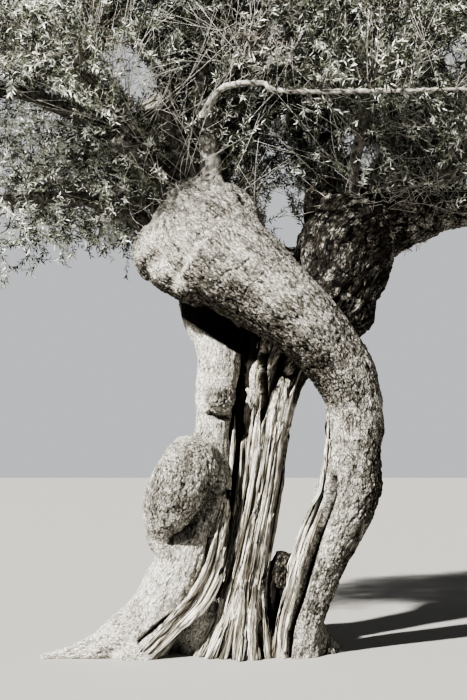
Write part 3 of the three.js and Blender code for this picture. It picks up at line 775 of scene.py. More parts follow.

# The dark wall: wood deep between the left stem and the core, which closes the slit between them, coloured
# nearly black as painted shade. It stands back in the shade, and shows only as black behind pale splinters.
# A second, lower one closes the crotch between the core and the right stem.
DARK_WALL = [(-0.18, 0.26, -0.06, 0.20), (-0.12, 0.27, 0.23, 0.18), (-0.07, 0.28, 0.44, 0.15),
             (0.005, 0.285, 0.80, 0.14), (0.05, 0.29, 1.15, 0.138), (0.08, 0.30, 1.52, 0.138),
             (0.11, 0.31, 1.88, 0.15), (0.135, 0.33, 2.26, 0.18), (0.195, 0.35, 2.64, 0.23),
             (0.26, 0.38, 3.05, 0.27)]
CROTCH_WALL = [(0.34, 0.14, -0.06, 0.15), (0.37, 0.13, 0.40, 0.13), (0.405, 0.12, 0.72, 0.10),
               (0.43, 0.10, 0.88, 0.05)]
SPLINTERS = [[(-0.022, -0.02, 1.56, 0.006), (-0.018, -0.03, 1.72, 0.022), (-0.004, -0.02, 1.96, 0.005)],
             [(0.00, 0.02, 1.66, 0.005), (0.006, 0.02, 1.84, 0.016), (0.012, 0.03, 2.10, 0.004)],
             [(0.02, -0.02, 0.36, 0.012), (0.012, -0.02, 0.55, 0.020), (0.004, -0.01, 0.76, 0.004)]]

black_walls = join("painted_shade_walls", [dead_limb("wall", smooth(DARK_WALL, 0.03), (0, -1, 0), 1, 90, 91),
                               dead_limb("wall", smooth(CROTCH_WALL, 0.03), (0, -1, 0), 1, 60, 92)])
# Painted shade: near-black wood stands for the deep shade in the slit and the crotch.
shade_black_wood = dead_material("near-black wood as painted shade", "3a342c", "1b1815", "0a0908")
finish_wood(black_walls, shade_black_wood, "dead_wood", "dark_wall")
splinters = join("splinters", [dead_limb("splinter", smooth(route, 0.02), (0, -1, 0), 0.6, 12, 100 + k, 0.1)
                               for k, route in enumerate(SPLINTERS)])
finish_wood(splinters, silver_wood, "dead_wood")

# The ribs: two strips of bare dead wood along the inner edges of the living stems, where the bark died
# back. Each is as broad as a hand and half as thick, with a dark gap between it and the bark.
LEFT_RIB = [(-0.84, -0.20, -0.06, 0.066), (-0.69, -0.205, 0.10, 0.076), (-0.52, -0.195, 0.27, 0.086),
            (-0.325, -0.175, 0.475, 0.098), (-0.205, -0.15, 0.675, 0.095), (-0.14, -0.125, 0.91, 0.080),
            (-0.085, -0.09, 1.17, 0.062), (-0.05, -0.06, 1.43, 0.020)]
RIGHT_RIB = [(0.40, -0.13, -0.06, 0.075), (0.425, -0.135, 0.24, 0.06), (0.49, -0.145, 0.53, 0.064),
             (0.565, -0.15, 0.81, 0.068), (0.645, -0.16, 1.06, 0.07), (0.74, -0.165, 1.30, 0.058),
             (0.80, -0.16, 1.46, 0.045), (0.84, -0.14, 1.85, 0.028), (0.845, -0.12, 2.12, 0.012)]
RIB_PARTS = 3                    # torn strips that lie side by side on each rib
TORN_END = 14                    # rows over which a strip thins out to its torn end


def torn_strips(route, facing, seed):
    """Strips that lie side by side along a rib, each with its own torn ends."""
    dice = np.random.default_rng(seed)
    rows = smooth(route, 0.02)
    side = unit(np.cross(np.gradient(rows[:, :3], axis=0), facing))
    made = []
    for k in range(RIB_PARTS):
        first = 0 if k == 1 else round(len(rows) * dice.uniform(0, 0.1))
        last = round(len(rows) * (0.98 if k == 1 else dice.uniform(0.66, 0.9)))
        part = rows[first:last].copy()
        half = part[:, 3:].copy()
        part[:, :3] += side[first:last] * half * (k - 1) * 0.66
        part[:, :3] += np.array(facing) * (0.35 * half + dice.uniform(0, 0.012))
        torn = np.clip((len(part) - np.arange(len(part))) / TORN_END, 0.08, 1)
        part[:, 3] = half[:, 0] * dice.uniform(0.36, 0.44) * torn
        made.append(dead_limb("strip", part, facing, 0.5, 26, seed + k, 0.6))
    return made


ribs = join("ribs", [dead_limb("rib", smooth(LEFT_RIB, 0.018), (0.25, -1, 0), 0.45, 60, 111, 0.7),
                     dead_limb("rib", smooth(RIGHT_RIB, 0.018), (-0.35, -1, 0), 0.5, 60, 131, 0.7),
                     *torn_strips(LEFT_RIB, (0.25, -0.95, 0), 112),
                     *torn_strips(RIGHT_RIB, (-0.35, -0.93, 0), 132)])
finish_wood(ribs, silver_wood, "dead_wood", "left_rib", "right_rib")

# The limbs: eighteen younger limbs that rise from the head, the rear bough and its arm. Their bark is
# paler and finer. Each is one tapering limb that forks on into its own part of the crown. Two sawn stubs
# stand on the left, and one long bare rod runs out level to the right in front of the others.
LIMBS = {
    "left_low": [(-0.64, 0.06, 3.76, 0.110), (-1.05, 0.15, 4.04, 0.082), (-1.56, 0.15, 4.15, 0.062),
                 (-2.20, 0.12, 4.12, 0.040)],
    "left_outer": [(-0.52, -0.06, 4.08, 0.130), (-0.81, -0.10, 4.43, 0.104), (-1.14, -0.13, 4.74, 0.088),
                   (-1.55, -0.17, 4.91, 0.076), (-2.00, -0.22, 5.02, 0.064), (-2.50, -0.28, 5.13, 0.045)],
    "left_front": [(-0.76, -0.16, 4.40, 0.074), (-1.00, -0.45, 4.74, 0.056), (-1.35, -0.80, 5.06, 0.036)],
    "left_back": [(-0.48, 0.06, 3.96, 0.105), (-0.80, 0.48, 4.22, 0.080), (-1.25, 0.90, 4.45, 0.060),
                  (-1.62, 1.18, 4.60, 0.038)],
    "left_top": [(-0.38, -0.09, 4.13, 0.132), (-0.52, -0.06, 4.65, 0.108), (-0.62, 0.00, 5.10, 0.084),
                 (-0.66, 0.06, 5.52, 0.064), (-1.02, 0.10, 5.95, 0.040)],
    "top_centre": [(-0.20, -0.12, 4.14, 0.125), (-0.225, -0.09, 4.50, 0.088), (-0.26, -0.06, 4.82, 0.072),
                   (-0.30, -0.02, 5.10, 0.062), (-0.25, 0.00, 5.50, 0.052), (-0.16, 0.00, 5.95, 0.042),
                   (-0.10, -0.06, 6.25, 0.034)],
    "centre": [(-0.15, 0.02, 4.05, 0.080), (-0.11, 0.16, 4.40, 0.060), (-0.06, 0.24, 4.75, 0.046),
               (-0.03, 0.25, 5.05, 0.032)],
    "front_centre": [(-0.21, -0.06, 4.99, 0.052), (-0.03, -0.42, 5.15, 0.042), (0.18, -0.76, 5.32, 0.032)],
    "back_centre": [(-0.20, 0.03, 3.90, 0.105), (-0.30, 0.56, 4.20, 0.080), (-0.42, 1.08, 4.56, 0.060),
                    (-0.52, 1.50, 4.90, 0.038)],
    "back_low": [(0.82, 0.60, 3.30, 0.095), (0.78, 1.00, 3.56, 0.074), (0.62, 1.45, 3.80, 0.054),
                 (0.48, 1.85, 4.05, 0.036)],
    "right_inner": [(0.98, 0.47, 3.98, 0.076), (0.93, 0.46, 4.32, 0.058), (1.00, 0.45, 4.70, 0.046),
                    (1.08, 0.44, 5.10, 0.034)],
    "right_top": [(1.23, 0.54, 4.12, 0.084), (1.42, 0.56, 4.52, 0.066), (1.56, 0.52, 5.02, 0.054),
                  (1.52, 0.44, 5.56, 0.044), (1.43, 0.36, 6.05, 0.032)],
    "right_front": [(1.15, 0.33, 4.10, 0.064), (1.13, -0.06, 4.42, 0.052), (1.18, -0.52, 4.72, 0.042),
                    (1.21, -0.82, 4.95, 0.032)],
    "right_outer": [(2.00, 0.64, 4.25, 0.076), (2.18, 0.60, 4.58, 0.058), (2.33, 0.48, 4.93, 0.046),
                    (2.40, 0.35, 5.20, 0.034)],
    "right_low_front": [(1.80, 0.56, 4.20, 0.066), (2.01, 0.12, 4.36, 0.052), (2.17, -0.36, 4.48, 0.042),
                        (2.26, -0.72, 4.58, 0.032)],
    "right_back": [(1.15, 0.80, 3.96, 0.095), (1.30, 1.18, 4.28, 0.074), (1.45, 1.54, 4.62, 0.054),
                   (1.56, 1.80, 4.90, 0.036)],
    "back_top": [(0.99, 0.70, 4.04, 0.084), (0.82, 0.95, 4.60, 0.066), (0.62, 1.12, 5.25, 0.050),
                 (0.45, 1.20, 5.90, 0.034)],
    "right_rod_tip": [(-0.28, -0.13, 4.79, 0.050), (-0.19, -0.37, 4.91, 0.036), (-0.06, -0.64, 4.93, 0.030),
                      (0.245, -0.90, 4.85, 0.024), (0.36, -0.98, 4.75, 0.022), (0.85, -1.18, 4.665, 0.020),
                      (1.38, -1.30, 4.625, 0.016), (2.05, -1.38, 4.61, 0.012)],
}
LIMB_NODES = {"top_centre": "limb_upright", "front_centre": "limb_front", "back_centre": "limb_back",
              "right_rod_tip": "long_rod"}
STUBS = {
    "stub_high": [(-0.50, -0.11, 4.50, 0.100), (-0.62, -0.24, 4.72, 0.104), (-0.74, -0.42, 4.88, 0.115)],
    "stub_low": [(-0.70, -0.14, 4.22, 0.105), (-0.88, -0.28, 4.45, 0.110), (-1.01, -0.42, 4.56, 0.116)],
}


def young_limb(name, route, around, step=0.024):
    """One closed limb with fine bark, knotty where shoots were cut off, and a little wander."""
    rows = smooth(route, step)
    wander = np.column_stack([ripple(rows[:, :3], 0.28, k) for k in (17, 18, 19)])
    ends = np.clip(np.minimum(np.arange(len(rows)), np.arange(len(rows))[::-1]) / 12, 0, 1)[:, None]
    rows[:, :3] += wander * 0.35 * rows[:, 3:] * ends
    places, outward, grain, faces = column(rows, (0.1, -1, 0.2), 1, around)
    grain = grain + len(name) + route[0][0]
    share = np.repeat(rows[:, 3], around)
    height = share * (0.16 * ripple(places, 0.13, 20) + 0.10 * ripple(grain, (0.03, 0.03, 0.2), 21))
    rough = 0.0035 * ripple(places, 0.030, 22) + 0.0025 * ripple(places, 0.015, 23)
    made = mesh_of(name, places + outward * (height + rough)[:, None], faces)
    paint(made, grain=grain, seams=np.clip(0.55 + rough * 130, 0, 1), coarse=np.full(len(places), 0.3))
    return made


PALE_LIMBS = ["top_centre", "right_rod_tip"]
limbs = join("limbs", [young_limb(name, route, 24 if route[0][3] > 0.06 else 16)
                       for name, route in LIMBS.items() if name not in PALE_LIMBS])
limb_bark = bark_material("younger grey olive bark", "b4b1a9", "5f5b53", "1d1b18", cell=0.016, contrast=0.8)
finish_wood(limbs, limb_bark, "limb_bark",
            *(LIMB_NODES.get(name, "limb_" + name) for name in LIMBS if name not in PALE_LIMBS))
pale_bark = bark_material("smooth pale bark", "ece9e2", "a9a59b", "4b4740", cell=0.02, contrast=0.3)
pale_limbs = join("pale_limbs", [young_limb(name, LIMBS[name], 24) for name in PALE_LIMBS])
finish_wood(pale_limbs, pale_bark, "limb_bark", *(LIMB_NODES[name] for name in PALE_LIMBS))
twig_bark = bark_material("grey bark of twigs", "948f84", "625e55", "35322d", cell=0.02, contrast=0.3)


BARK_THICKNESS = 0.012
SUNK_FACE = 0.008


def sawn_stub(name, route):
    """A cut limb: a rim of bark round the bare, slightly sunken face of the saw cut."""
    made = young_limb(name, route, 40)
    made.name = name.replace("stub_", "sawn_")
    end = np.array(route[-1][:3])
    onward = unit(end - np.array(route[-2][:3]))
    paint(made, light=np.ones(len(made.data.vertices)))
    made.data.materials.append(limb_bark)
    made.data.materials.append(silver_wood)
    select_only(made)
    bpy.ops.object.mode_set(mode="EDIT")
    bpy.ops.mesh.select_mode(type="FACE")
    bpy.ops.mesh.select_all(action="DESELECT")
    bpy.ops.object.mode_set(mode="OBJECT")
    made.data.polygons[-1].select = True
    bpy.ops.object.mode_set(mode="EDIT")
    bpy.ops.mesh.inset(thickness=BARK_THICKNESS)
    made.active_material_index = 1
    bpy.ops.object.material_slot_assign()
    bpy.ops.transform.translate(value=tuple(-SUNK_FACE * onward))
    bpy.ops.object.mode_set(mode="OBJECT")
    return made


for name, route in STUBS.items():
    stub = sawn_stub(name, route)
    finish_wood(stub, limb_bark, "limb_bark", name)

# The crown: each limb forks on and on inside its part of the crown, towards shoots spread through it,
# and gets thinner at each fork. The long shoots carry opposite pairs of narrow leathery leaves.
SHOOTS_PER_M3 = 250
SHOOT_LENGTH = (0.36, 0.70)
SHOOT_SPARE = 0.32               # the most that a shoot grows on past its target
SHOOT_RISE = 0.10                # how much its tip turns up, as a share of its length
SHOOT_BEND = 0.35
PAIRS = 12
LEAF_LENGTH = 0.062
LEAF_WIDTH = 0.0140
LEAF_OUTLINE = [(0, 0, 0), (0.44, 1, 0.05), (1, 0, -0.10), (0.44, -1, 0.05)]     # along, across, up
LEAF_DROOP = 0.12
TIP_RADIUS = 0.0034              # of a shoot at its foot
THICKENING = 0.43                # power by which a branch thickens with the shoots that it carries
STOUT_LOAD = 9                   # shoots that a branch carries when it gets a rounder section
BRANCH_TAPER = 0.86
END_RADIUS = 0.0015              # of a shoot at its tip
MASS_FILL = 0.52                 # share of its box that a foliage mass fills
OVERHANG = 0.07                  # how far shoots may reach past the crown's box
EYE = np.array([0, -EYE_DISTANCE, EYE_HEIGHT])

# Gaps in which sky shows: a centre and two half widths on the plane through the trunk. The last is the
# open sky under the long arm.
SKY_GAPS = [((-1.088, 0, 5.490), (0.15, 0.115)), ((-0.878, 0, 5.242), (0.16, 0.125)),
            ((1.130, 0, 4.640), (0.12, 0.09)), ((1.270, 0, 4.540), (0.12, 0.09)),
            ((0.430, 0, 3.990), (0.13, 0.16)), ((0.530, 0, 3.820), (0.14, 0.16)),
            ((2.086, 0, 5.439), (0.11, 0.11)), ((2.30, 0, 3.20), (1.10, 0.62))]

# Wood that no leaves hide, wood that shows here and there, and wood that the sun reaches.
HEAD_FACE = [(-0.72, -0.16, 3.62, 0.17), (-0.52, -0.20, 3.86, 0.26), (-0.26, -0.20, 3.92, 0.34),
             (-0.02, -0.24, 3.72, 0.36), (0.14, -0.26, 3.50, 0.36)]
REAR_FACE = [(0.86, 0.39, 3.20, 0.30), (1.10, 0.46, 3.60, 0.40), (1.30, 0.50, 3.95, 0.30),
             (1.78, 0.58, 4.11, 0.22)]
PLAIN_WOOD = [HEAD_FACE, REAR_FACE, STUBS["stub_high"][1:], LIMBS["left_outer"][3:], LIMBS["right_rod_tip"]]
GLIMPSED_WOOD = [LIMBS["left_top"][:3], LIMBS["top_centre"][:6], STUBS["stub_low"][1:]]
SUNLIT_WOOD = [STUBS["stub_high"][1:], LIMBS["right_rod_tip"]]
DAPPLED_WOOD = [REAR_FACE[:3]]
GAP_CLEARED = 0.94               # share of the shoots that is taken away before a gap
CLEARED = 0.85                   # share of the shoots that is taken away before plain and sunlit wood
THINNED = 0.5                    # the same before wood that is only glimpsed
DAPPLED = 0.4                    # the same on the sun's way to the rear bough


def seen_in_gap(places):
    """Whether each place lies on a line of sight through one of the gaps in which sky shows."""
    ways = places - EYE
    on_plane = EYE + ways * (EYE_DISTANCE / ways[:, 1:2])
    hit = np.zeros(len(places), bool)
    uneven = 1 + 0.45 * ripple(on_plane, 0.13, 30)
    for (x, _, z), (wide, high) in SKY_GAPS:
        hit |= np.hypot((on_plane[:, 0] - x) / wide, (on_plane[:, 2] - z) / high) < uneven
    return hit


def before(places, routes, way=None):
    """Whether each place stands before the wood of the routes, on the way to the light or to the viewer."""
    hit = np.zeros(len(places), bool)
    for route in routes:
        for x, y, z, radius in smooth(route, 0.06):
            offset = places - (x, y, z)
            to_eye = EYE - (x, y, z)
            toward = unit(to_eye) if way is None else way
            along = offset @ toward
            gap = np.linalg.norm(offset - along[:, None] * toward, axis=1)
            hit |= (along > 0) & (gap < radius + 0.01)
    return hit


def hides_wood(places, dice):
    """Whether each place would hide wood that is in plain view, or shade wood that stands in the sun."""
    hides = before(places, PLAIN_WOOD) & (dice.random(len(places)) < CLEARED)
    hides |= before(places, GLIMPSED_WOOD) & (dice.random(len(places)) < THINNED)
    shades = before(places, SUNLIT_WOOD, np.array(to_sun)) & (dice.random(len(places)) < CLEARED)
    shades |= before(places, DAPPLED_WOOD, np.array(to_sun)) & (dice.random(len(places)) < DAPPLED)
    return hides | shades


BATCH = 500
LEAST_DEPTH = 0.04               # of a target below the skin of its foliage mass


def targets_in(cad_node, per_m3, dice):
    """Places spread through a solid, more of them near its surface than deep inside."""
    mesh = cad_node.data
    tree = BVHTree.FromPolygons([v.co for v in mesh.vertices], [p.vertices for p in mesh.polygons])
    low, high = (np.array(corner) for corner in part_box(cad_node.name))
    count = round(MASS_FILL * np.prod(high - low) * per_m3)
    found = np.empty((0, 3))
    while len(found) < count:
        batch = dice.uniform(low, high, (BATCH, 3))
        depths = []
        for place in map(Vector, batch):
            spot, normal, _, distance = tree.find_nearest(place)
            depths.append(distance if (place - spot).dot(normal) < 0 else 0)
        depths = np.array(depths)
        clear = (depths > LEAST_DEPTH) & (dice.random(len(batch)) < np.maximum(0.3, 1 - 1.6 * depths))
        clear &= ~seen_in_gap(batch) & ~hides_wood(batch, dice)
        found = np.vstack([found, batch[clear]])
    return found[:count]


UNEVEN_SPLIT = (0.36, 0.64)      # share of the targets that one of two branches takes
FORK_REACH = (0.34, 0.58)        # length of a branch, as a share of the way to its targets
FORK_STRAY = 0.07
FORK_BEND = 0.42


def fork(start, heading, targets, dice, branches, shoots):
    """Forks towards the targets, again and again, until each has a shoot of its own."""
    if len(targets) <= 2:
        for target in targets:
            shoots.append((start, heading, target))
        return
    spread = targets - targets.mean(axis=0)
    axis = np.linalg.svd(spread, full_matrices=False)[2][0]
    order = np.argsort(spread @ axis)
    split = min(len(targets) - 1, max(1, round(len(targets) * dice.uniform(*UNEVEN_SPLIT))))
    for group in (targets[order[:split]], targets[order[split:]]):
        way = group.mean(axis=0) - start
        length = np.linalg.norm(way) * dice.uniform(*FORK_REACH)
        end = start + unit(way) * length + dice.normal(0, FORK_STRAY * length, 3)
        bend = start + heading * length * FORK_BEND
        branches.append((start, bend, end, len(group)))
        fork(end, unit(end - bend), group, dice, branches, shoots)


def along_bend(paths, t):
    """Points and directions at a share t along curves that are given as start, bend and end."""
    start, bend, end = paths[:, 0], paths[:, 1], paths[:, 2]
    t = np.asarray(t)[..., None]
    places = (1 - t) ** 2 * start + 2 * t * (1 - t) * bend + t * t * end
    ways = (1 - t) * (bend - start) + t * (end - bend)
    return places, unit(ways)


def square_to(ways):
    """Two directions square to each way and to each other."""
    helper = np.where(np.abs(ways[..., 2:]) < 0.8, [0, 0, 1.0], [1.0, 0, 0])
    side = unit(np.cross(ways, helper))
    return side, np.cross(side, ways)


def tubes(paths, thick, thin, steps, sides):
    """Points and faces of tapering closed tubes along bent paths."""
    rings = []
    for t in np.linspace(0, 1, steps + 1):
        middles, ways = along_bend(paths, np.full(len(paths), t))
        side, back = square_to(ways)
        radius = (thick + (thin - thick) * t)[:, None, None]
        turn = np.arange(sides) * math.tau / sides
        ring = side[:, None] * np.cos(turn)[:, None] + back[:, None] * np.sin(turn)[:, None]
        rings.append(middles[:, None] + ring * radius)
    places = np.stack(rings, axis=1).reshape(-1, 3)
    first = np.arange(len(paths))[:, None, None] * (steps + 1) * sides
    level = np.arange(steps)[None, :, None] * sides
    a = np.arange(sides)[None, None, :]
    b = (a + 1) % sides
    walls = np.stack([first + level + a, first + level + b, first + level + sides + b,
                      first + level + sides + a], axis=-1).reshape(-1, 4)
    caps = np.concatenate([first[:, 0] + np.arange(sides)[::-1],
                           first[:, 0] + steps * sides + np.arange(sides)])
    return places, [walls, caps]


def leaves_on(paths, tones, pairs, dice):
    """Narrow leaves in crossed opposite pairs along each shoot, and the tone of each face."""
    count = len(paths)
    pair = np.arange(pairs)
    t = 0.14 + 0.86 * (pair + 0.5) / pairs + dice.uniform(-0.03, 0.03, (count, pairs))
    wide = np.repeat(paths[:, None], pairs, axis=1).reshape(-1, 3, 3)
    roots, ways = along_bend(wide, t.ravel())
    side, back = square_to(ways)
    turn = dice.uniform(0, math.tau, (count, 1)) + pair * math.pi / 2 + dice.normal(0, 0.25, (count, pairs))
    all_ways, across = [], []
    for half in (0, math.pi):
        angle = (turn + half).ravel()[:, None]
        out = side * np.cos(angle) + back * np.sin(angle)
        open_by = dice.uniform(0.45, 1.05, (len(roots), 1))
        way = ways * np.cos(open_by) + out * np.sin(open_by)
        way[:, 2] -= LEAF_DROOP
        all_ways.append(unit(way))
        across.append(unit(np.cross(way, ways + dice.normal(0, 0.45, ways.shape))))
    roots = np.vstack([roots, roots])
    way, flat = np.vstack(all_ways), np.vstack(across)
    tone = np.concatenate([np.repeat(tones, pairs // tones.shape[1], axis=1).ravel()] * 2)
    size = dice.uniform(0.72, 1.2, (len(roots), 1))
    long, half_width = LEAF_LENGTH * size, LEAF_WIDTH / 2 * size
    up = np.cross(flat, way)
    corners = [roots + way * long * a + flat * half_width * b + up * long * c for a, b, c in LEAF_OUTLINE]
    places = np.stack(corners, axis=1).reshape(-1, 3)
    first = np.arange(len(roots))[:, None] * len(LEAF_OUTLINE)
    return places, [first + [0, 2, 1], first + [0, 3, 2]], np.concatenate([tone] * 2)


LEAF_DRIFTS_PER_METRE = 22


def leaf_material(name, colour):
    """An olive leaf's skin: waxy and a little uneven, with a tone of its own for each few leaves."""
    material, surface = new_material(name)
    body = node(material, "TexCoord").outputs["Object"]
    drift = node(material, "TexNoise", [(body, "Vector")], scale=LEAF_DRIFTS_PER_METRE, detail=2)
    shade = node(material, "MapRange", [(drift.outputs["Fac"], "Value")], from_min=0.35,
                 from_max=0.65, to_min=0.72, to_max=1.12).outputs[0]
    tint = node(material, "HueSaturation", [(shade, "Value"), (linear(colour), "Color")])
    feed(surface, [(tint.outputs[0], "Base Color"), (0.5, "Roughness")])
    return material


# The foliage masses, in the groups whose twigs and leaves are joined into one piece each.
GROUPS = {
    "left": ["left_low", "left_outer", "left_front", "left_back"],
    "top": ["left_top", "top_centre", "back_top", "centre"],
    "middle": ["front_centre", "right_front", "right_inner", "right_rod_tip", "right_low_front"],
    "back": ["back_centre", "back_low", "right_back"],
    "right": ["right_top", "right_outer", "right_end"],
    "inner": ["head_shoots"],
}
OTHER_FEEDS = {"right_end": REAR_ARM, "head_shoots": [(-0.10, -0.15, 3.80, 0.10), (0.06, -0.22, 4.00, 0.05)]}
THINNER = {"left_low": 0.28, "left_outer": 0.85, "left_back": 0.8}
LEAF_TONES = {"shaded olive leaf": "23271f", "olive leaf, upper side": "565e4b",
              "dusty olive leaf": "9aa18e", "silver underside": "d4d8cb", "pale underside": "f6f8f0"}
TONE_SHARES = [0.40, 0.18, 0.10, 0.14, 0.18]
PALER_SHARES = [0.20, 0.13, 0.13, 0.24, 0.30]       # the left of the crown, which faces the light
leaf_skins = [leaf_material(name, colour) for name, colour in LEAF_TONES.items()]

# Shoots break out all along the old wood too, round the head, the lower limbs, and the rear bough's top.
# Each row is the wood, how many tufts stand on it, and the share of its length that they cover.
HEAD_TOP = [(-0.78, -0.16, 3.66, 0.10), (-0.62, -0.20, 3.95, 0.22), (-0.30, -0.20, 4.10, 0.25),
            (0.02, -0.24, 3.92, 0.28), (0.20, -0.24, 3.70, 0.30)]
REAR_TOP = [(0.80, 0.36, 4.30, 0.17), (1.10, 0.44, 4.10, 0.36), (1.60, 0.52, 4.08, 0.30),
            (2.20, 0.62, 4.20, 0.20), (3.40, 0.80, 4.46, 0.12)]
OLD_WOOD = {**LIMBS, **STUBS, "head_top": HEAD_TOP, "rear_top": REAR_TOP, "arm_top": REAR_TOP[1:4]}
TUFTS = [("head_top", 70, (0, 1)), ("rear_top", 100, (0, 1)), ("left_top", 60, (0.05, 0.7)),
         ("left_outer", 64, (0.05, 0.7)), ("left_low", 20, (0.1, 0.6)), ("top_centre", 50, (0.1, 0.7)),
         ("stub_low", 18, (0.3, 1)), ("stub_high", 14, (0.3, 1)), ("right_rod_tip", 26, (0.1, 0.9)),
         ("right_front", 22, (0.1, 0.8)), ("right_top", 28, (0.1, 0.6)), ("right_inner", 22, (0.1, 0.8)),
         ("centre", 22, (0.1, 0.8)), ("right_outer", 18, (0.1, 0.8))]
TUFT_LEAN = (0, -0.7, 0.8)       # up, and to the open front
TUFT_REACH = (0.14, 0.50)
TUFT_SAG = 0.1                   # how far below the wood a tuft's shoots may hang


def grow_tufts(dice, branches, shoots):
    """Tufts of a few shoots that start on the old wood and reach up, out and to the open front."""
    for name, count, (low, high) in TUFTS:
        rows = smooth(OLD_WOOD[name])
        for _ in range(count):
            x, y, z, radius = rows[int(len(rows) * dice.uniform(low, high)) - 1]
            way = unit(dice.normal(0, 1, 3) + TUFT_LEAN)
            start = np.array([x, y, z]) + way * radius * 0.85
            reach = unit(way + dice.normal(0, 0.42, (round(dice.uniform(3, 6)), 3)))
            targets = start + reach * dice.uniform(*TUFT_REACH, (len(reach), 1))
            targets[:, 2] = np.maximum(targets[:, 2], z - TUFT_SAG)
            targets = targets[~seen_in_gap(targets) & ~hides_wood(targets, dice)]
            if len(targets):
                fork(start, way, targets, dice, branches, shoots)


# Long straight whips, a season or two old, shoot up bare through the crown and catch the light; their pale
# bark is partly their own colour and partly painted light.
# Each row is the wood that they stand on, how many there are, and their shortest and longest length.
WHIPS = [("head_top", 16, (0.5, 1.2)), ("rear_top", 110, (0.4, 1.3)), ("left_top", 10, (0.5, 1.1)),
         ("left_outer", 44, (0.5, 1.5)), ("left_low", 24, (0.4, 1.0)), ("top_centre", 10, (0.5, 1.1)),
         ("right_top", 20, (0.5, 1.2)), ("left_front", 44, (0.5, 1.4)), ("front_centre", 40, (0.5, 1.4)),
         ("right_front", 48, (0.5, 1.2)), ("right_low_front", 44, (0.5, 1.2)),
         ("right_rod_tip", 34, (0.3, 0.9))]
WHIP_LEAN = (0.1, -0.5, 0.8)
WHIP_RADIUS = 0.0036
WHIP_TAPER = 0.6
WHIP_MARGIN = 0.02               # how far inside the crown's box every whip ends
SIDE_WHIPS = 3


def grow_whips(dice):
    """Paths of the whips and of their side twigs, each as start, bend and end, and their radii."""
    paths, radii = [], []
    for name, count, lengths in WHIPS:
        rows = smooth(OLD_WOOD[name])
        for _ in range(count):
            x, y, z, radius = rows[dice.integers(len(rows) // 8, len(rows))]
            way = unit(dice.normal(0, 0.7, 3) * (1, 0.5, 1) + WHIP_LEAN)
            start = np.array([x, y, z]) + way * radius * 0.8
            length = dice.uniform(*lengths)
            bend = start + way * length * 0.5 + dice.normal(0, 0.06 * length, 3)
            whip = np.array([start, bend, start + way * length])
            paths.append(whip)
            radii.append(WHIP_RADIUS)
            for share in dice.uniform(0.25, 0.85, SIDE_WHIPS):
                root, onward = along_bend(whip[None], [share])
                reach = unit(onward[0] + dice.normal(0, 0.45, 3)) * length * dice.uniform(0.2, 0.45)
                paths.append(np.array([root[0], root[0] + 0.5 * reach, root[0] + reach + (0, 0, 0.03)]))
                radii.append(0.6 * WHIP_RADIUS)
    paths = np.array(paths)
    low, high = np.array(cad_box[0]) + WHIP_MARGIN, np.array(cad_box[1]) - WHIP_MARGIN
    kept = np.all((paths[:, 2] > low) & (paths[:, 2] < high), axis=1)
    kept &= paths[:, 2, 2] > paths[:, 0, 2] - 0.02
    return paths[kept], np.array(radii)[kept]


# Bare forked twigs spread out like fingers in front of the rear bough and its arm, and here and there in
# front of the crown. They stand in the crown's shade, and their pale bark is painted light. Each row is the
# wood that they stand on and how many there are.
TANGLES = [("arm_top", 18), ("head_top", 3), ("front_centre", 5), ("right_front", 6), ("left_front", 9),
           ("right_low_front", 6)]
TANGLE_LEAN = (0.1, -0.5, 0.5)
TANGLE_SPREAD = (0.34, 0.12, 0.20)
FINGERS = 8                      # ends of each twig
FINGER_RADIUS = 0.0028


def grow_tangles(dice):
    """Paths of the bare forked twigs, as start, bend and end, and their radii."""
    branches, shoots = [], []
    for name, count in TANGLES:
        rows = smooth(OLD_WOOD[name])
        for _ in range(count):
            x, y, z, radius = rows[dice.integers(0, len(rows))]
            start = np.array([x, y - 0.9 * radius, z + 0.1 * radius])
            way = unit(dice.normal(0, 0.6, 3) + TANGLE_LEAN)
            targets = start + 0.35 * way + dice.normal(0, 1, (FINGERS, 3)) * TANGLE_SPREAD
            targets[:, 2] = np.maximum(targets[:, 2], z - 0.35 * radius)
            fork(start, way, targets, dice, branches, shoots)
    stems = [branch[:3] for branch in branches]
    ends = [(start, start + 0.3 * (target - start) + 0.05 * heading, target)
            for start, heading, target in shoots]
    load = np.array([branch[3] for branch in branches] + [1] * len(shoots), float)
    return np.array(stems + ends), FINGER_RADIUS * load ** 0.35


def grow_masses(masses, dice, branches, shoots):
    """Forks each limb on through its own part of the crown."""
    for mass in masses:
        route = smooth(LIMBS.get(mass) or OTHER_FEEDS[mass])
        start = route[-1, :3]
        heading = unit(start - route[-4, :3])
        targets = targets_in(frame["nodes"]["foliage_" + mass], SHOOTS_PER_M3 * THINNER.get(mass, 1), dice)
        fork(start, heading, targets, dice, branches, shoots)


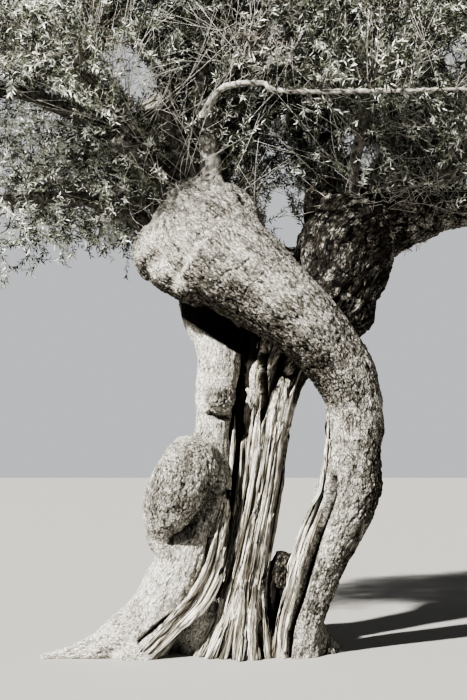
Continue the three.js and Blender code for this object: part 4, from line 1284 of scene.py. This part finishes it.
def draw_shoots(shoots, dice):
    """The paths of the shoots, drawn on past their targets, without those that would close a gap."""
    starts, headings, targets = (np.array(part) for part in zip(*shoots))
    way = targets - starts
    length = np.linalg.norm(way, axis=1, keepdims=True)
    wanted = dice.uniform(*SHOOT_LENGTH, (len(way), 1))
    reach = np.clip(wanted, length, length + SHOOT_SPARE)
    ends = starts + way / length * reach + dice.normal(0, 0.02, way.shape)
    ends[:, 2] += SHOOT_RISE * wanted[:, 0]
    sprays = np.stack([starts, starts + headings * SHOOT_BEND * wanted, ends], axis=1)
    samples = np.stack([along_bend(sprays, np.full(len(sprays), t))[0] for t in (0.1, 0.4, 0.7, 1)], axis=1)
    samples = samples.reshape(-1, 3)
    in_gap = seen_in_gap(samples).reshape(-1, 4).any(axis=1)
    in_gap &= dice.random(len(sprays)) < GAP_CLEARED
    hiding = hides_wood(samples, dice).reshape(-1, 4).any(axis=1)
    low, high = np.array(cad_box[0]) - OVERHANG, np.array(cad_box[1]) + OVERHANG
    outside = np.any((ends < low) | (ends > high), axis=1)
    return sprays[~(in_gap | hiding | outside)]


def finish_twigs(name, sets, material):
    """One mesh of several sets of tubes."""
    first = np.cumsum([0, *(len(points) for points, _ in sets)])
    points = np.vstack([points for points, _ in sets])
    made = mesh_of(name, points, [face + shift for (_, faces), shift in zip(sets, first) for face in faces])
    paint(made, grain=points, seams=np.ones(len(points)))
    finish_wood(made, material, "limb_bark")


for number, (group, masses) in enumerate(GROUPS.items()):
    dice = np.random.default_rng(40 + number)
    branches, shoots = [], []
    grow_masses(masses, dice, branches, shoots)
    if group == "inner":
        grow_tufts(dice, branches, shoots)
        whips, radii = grow_whips(dice)
        bare, bare_radii = grow_tangles(np.random.default_rng(60))
        # The whips and the bare twigs take the pale bark, partly as painted light.
        finish_twigs("whips", [tubes(whips, radii, radii * WHIP_TAPER, 3, 4),
                               tubes(bare, bare_radii, bare_radii * WHIP_TAPER, 3, 4)], pale_bark)
    stems = np.array([branch[:3] for branch in branches])
    load = np.array([branch[3] for branch in branches], float)
    sprays = draw_shoots(shoots, dice)
    thick = TIP_RADIUS * load ** THICKENING
    thin = thick * BRANCH_TAPER
    stout = load > STOUT_LOAD
    finish_twigs("twigs_" + group,
                 [tubes(stems[stout], thick[stout], thin[stout], 3, 5),
                  tubes(stems[~stout], thick[~stout], thin[~stout], 2, 3),
                  tubes(sprays, np.full(len(sprays), TIP_RADIUS), np.full(len(sprays), END_RADIUS), 2, 3)],
                 twig_bark)
    shares = PALER_SHARES if group == "left" else TONE_SHARES
    tones = dice.choice(len(LEAF_TONES), (len(sprays), 3), p=shares)
    leaves = mesh_of("leaves_" + group, *leaves_on(sprays, tones, PAIRS, dice))
    for skin in leaf_skins:
        leaves.data.materials.append(skin)
    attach(leaves, "root")
    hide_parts(*("foliage_" + mass for mass in masses))
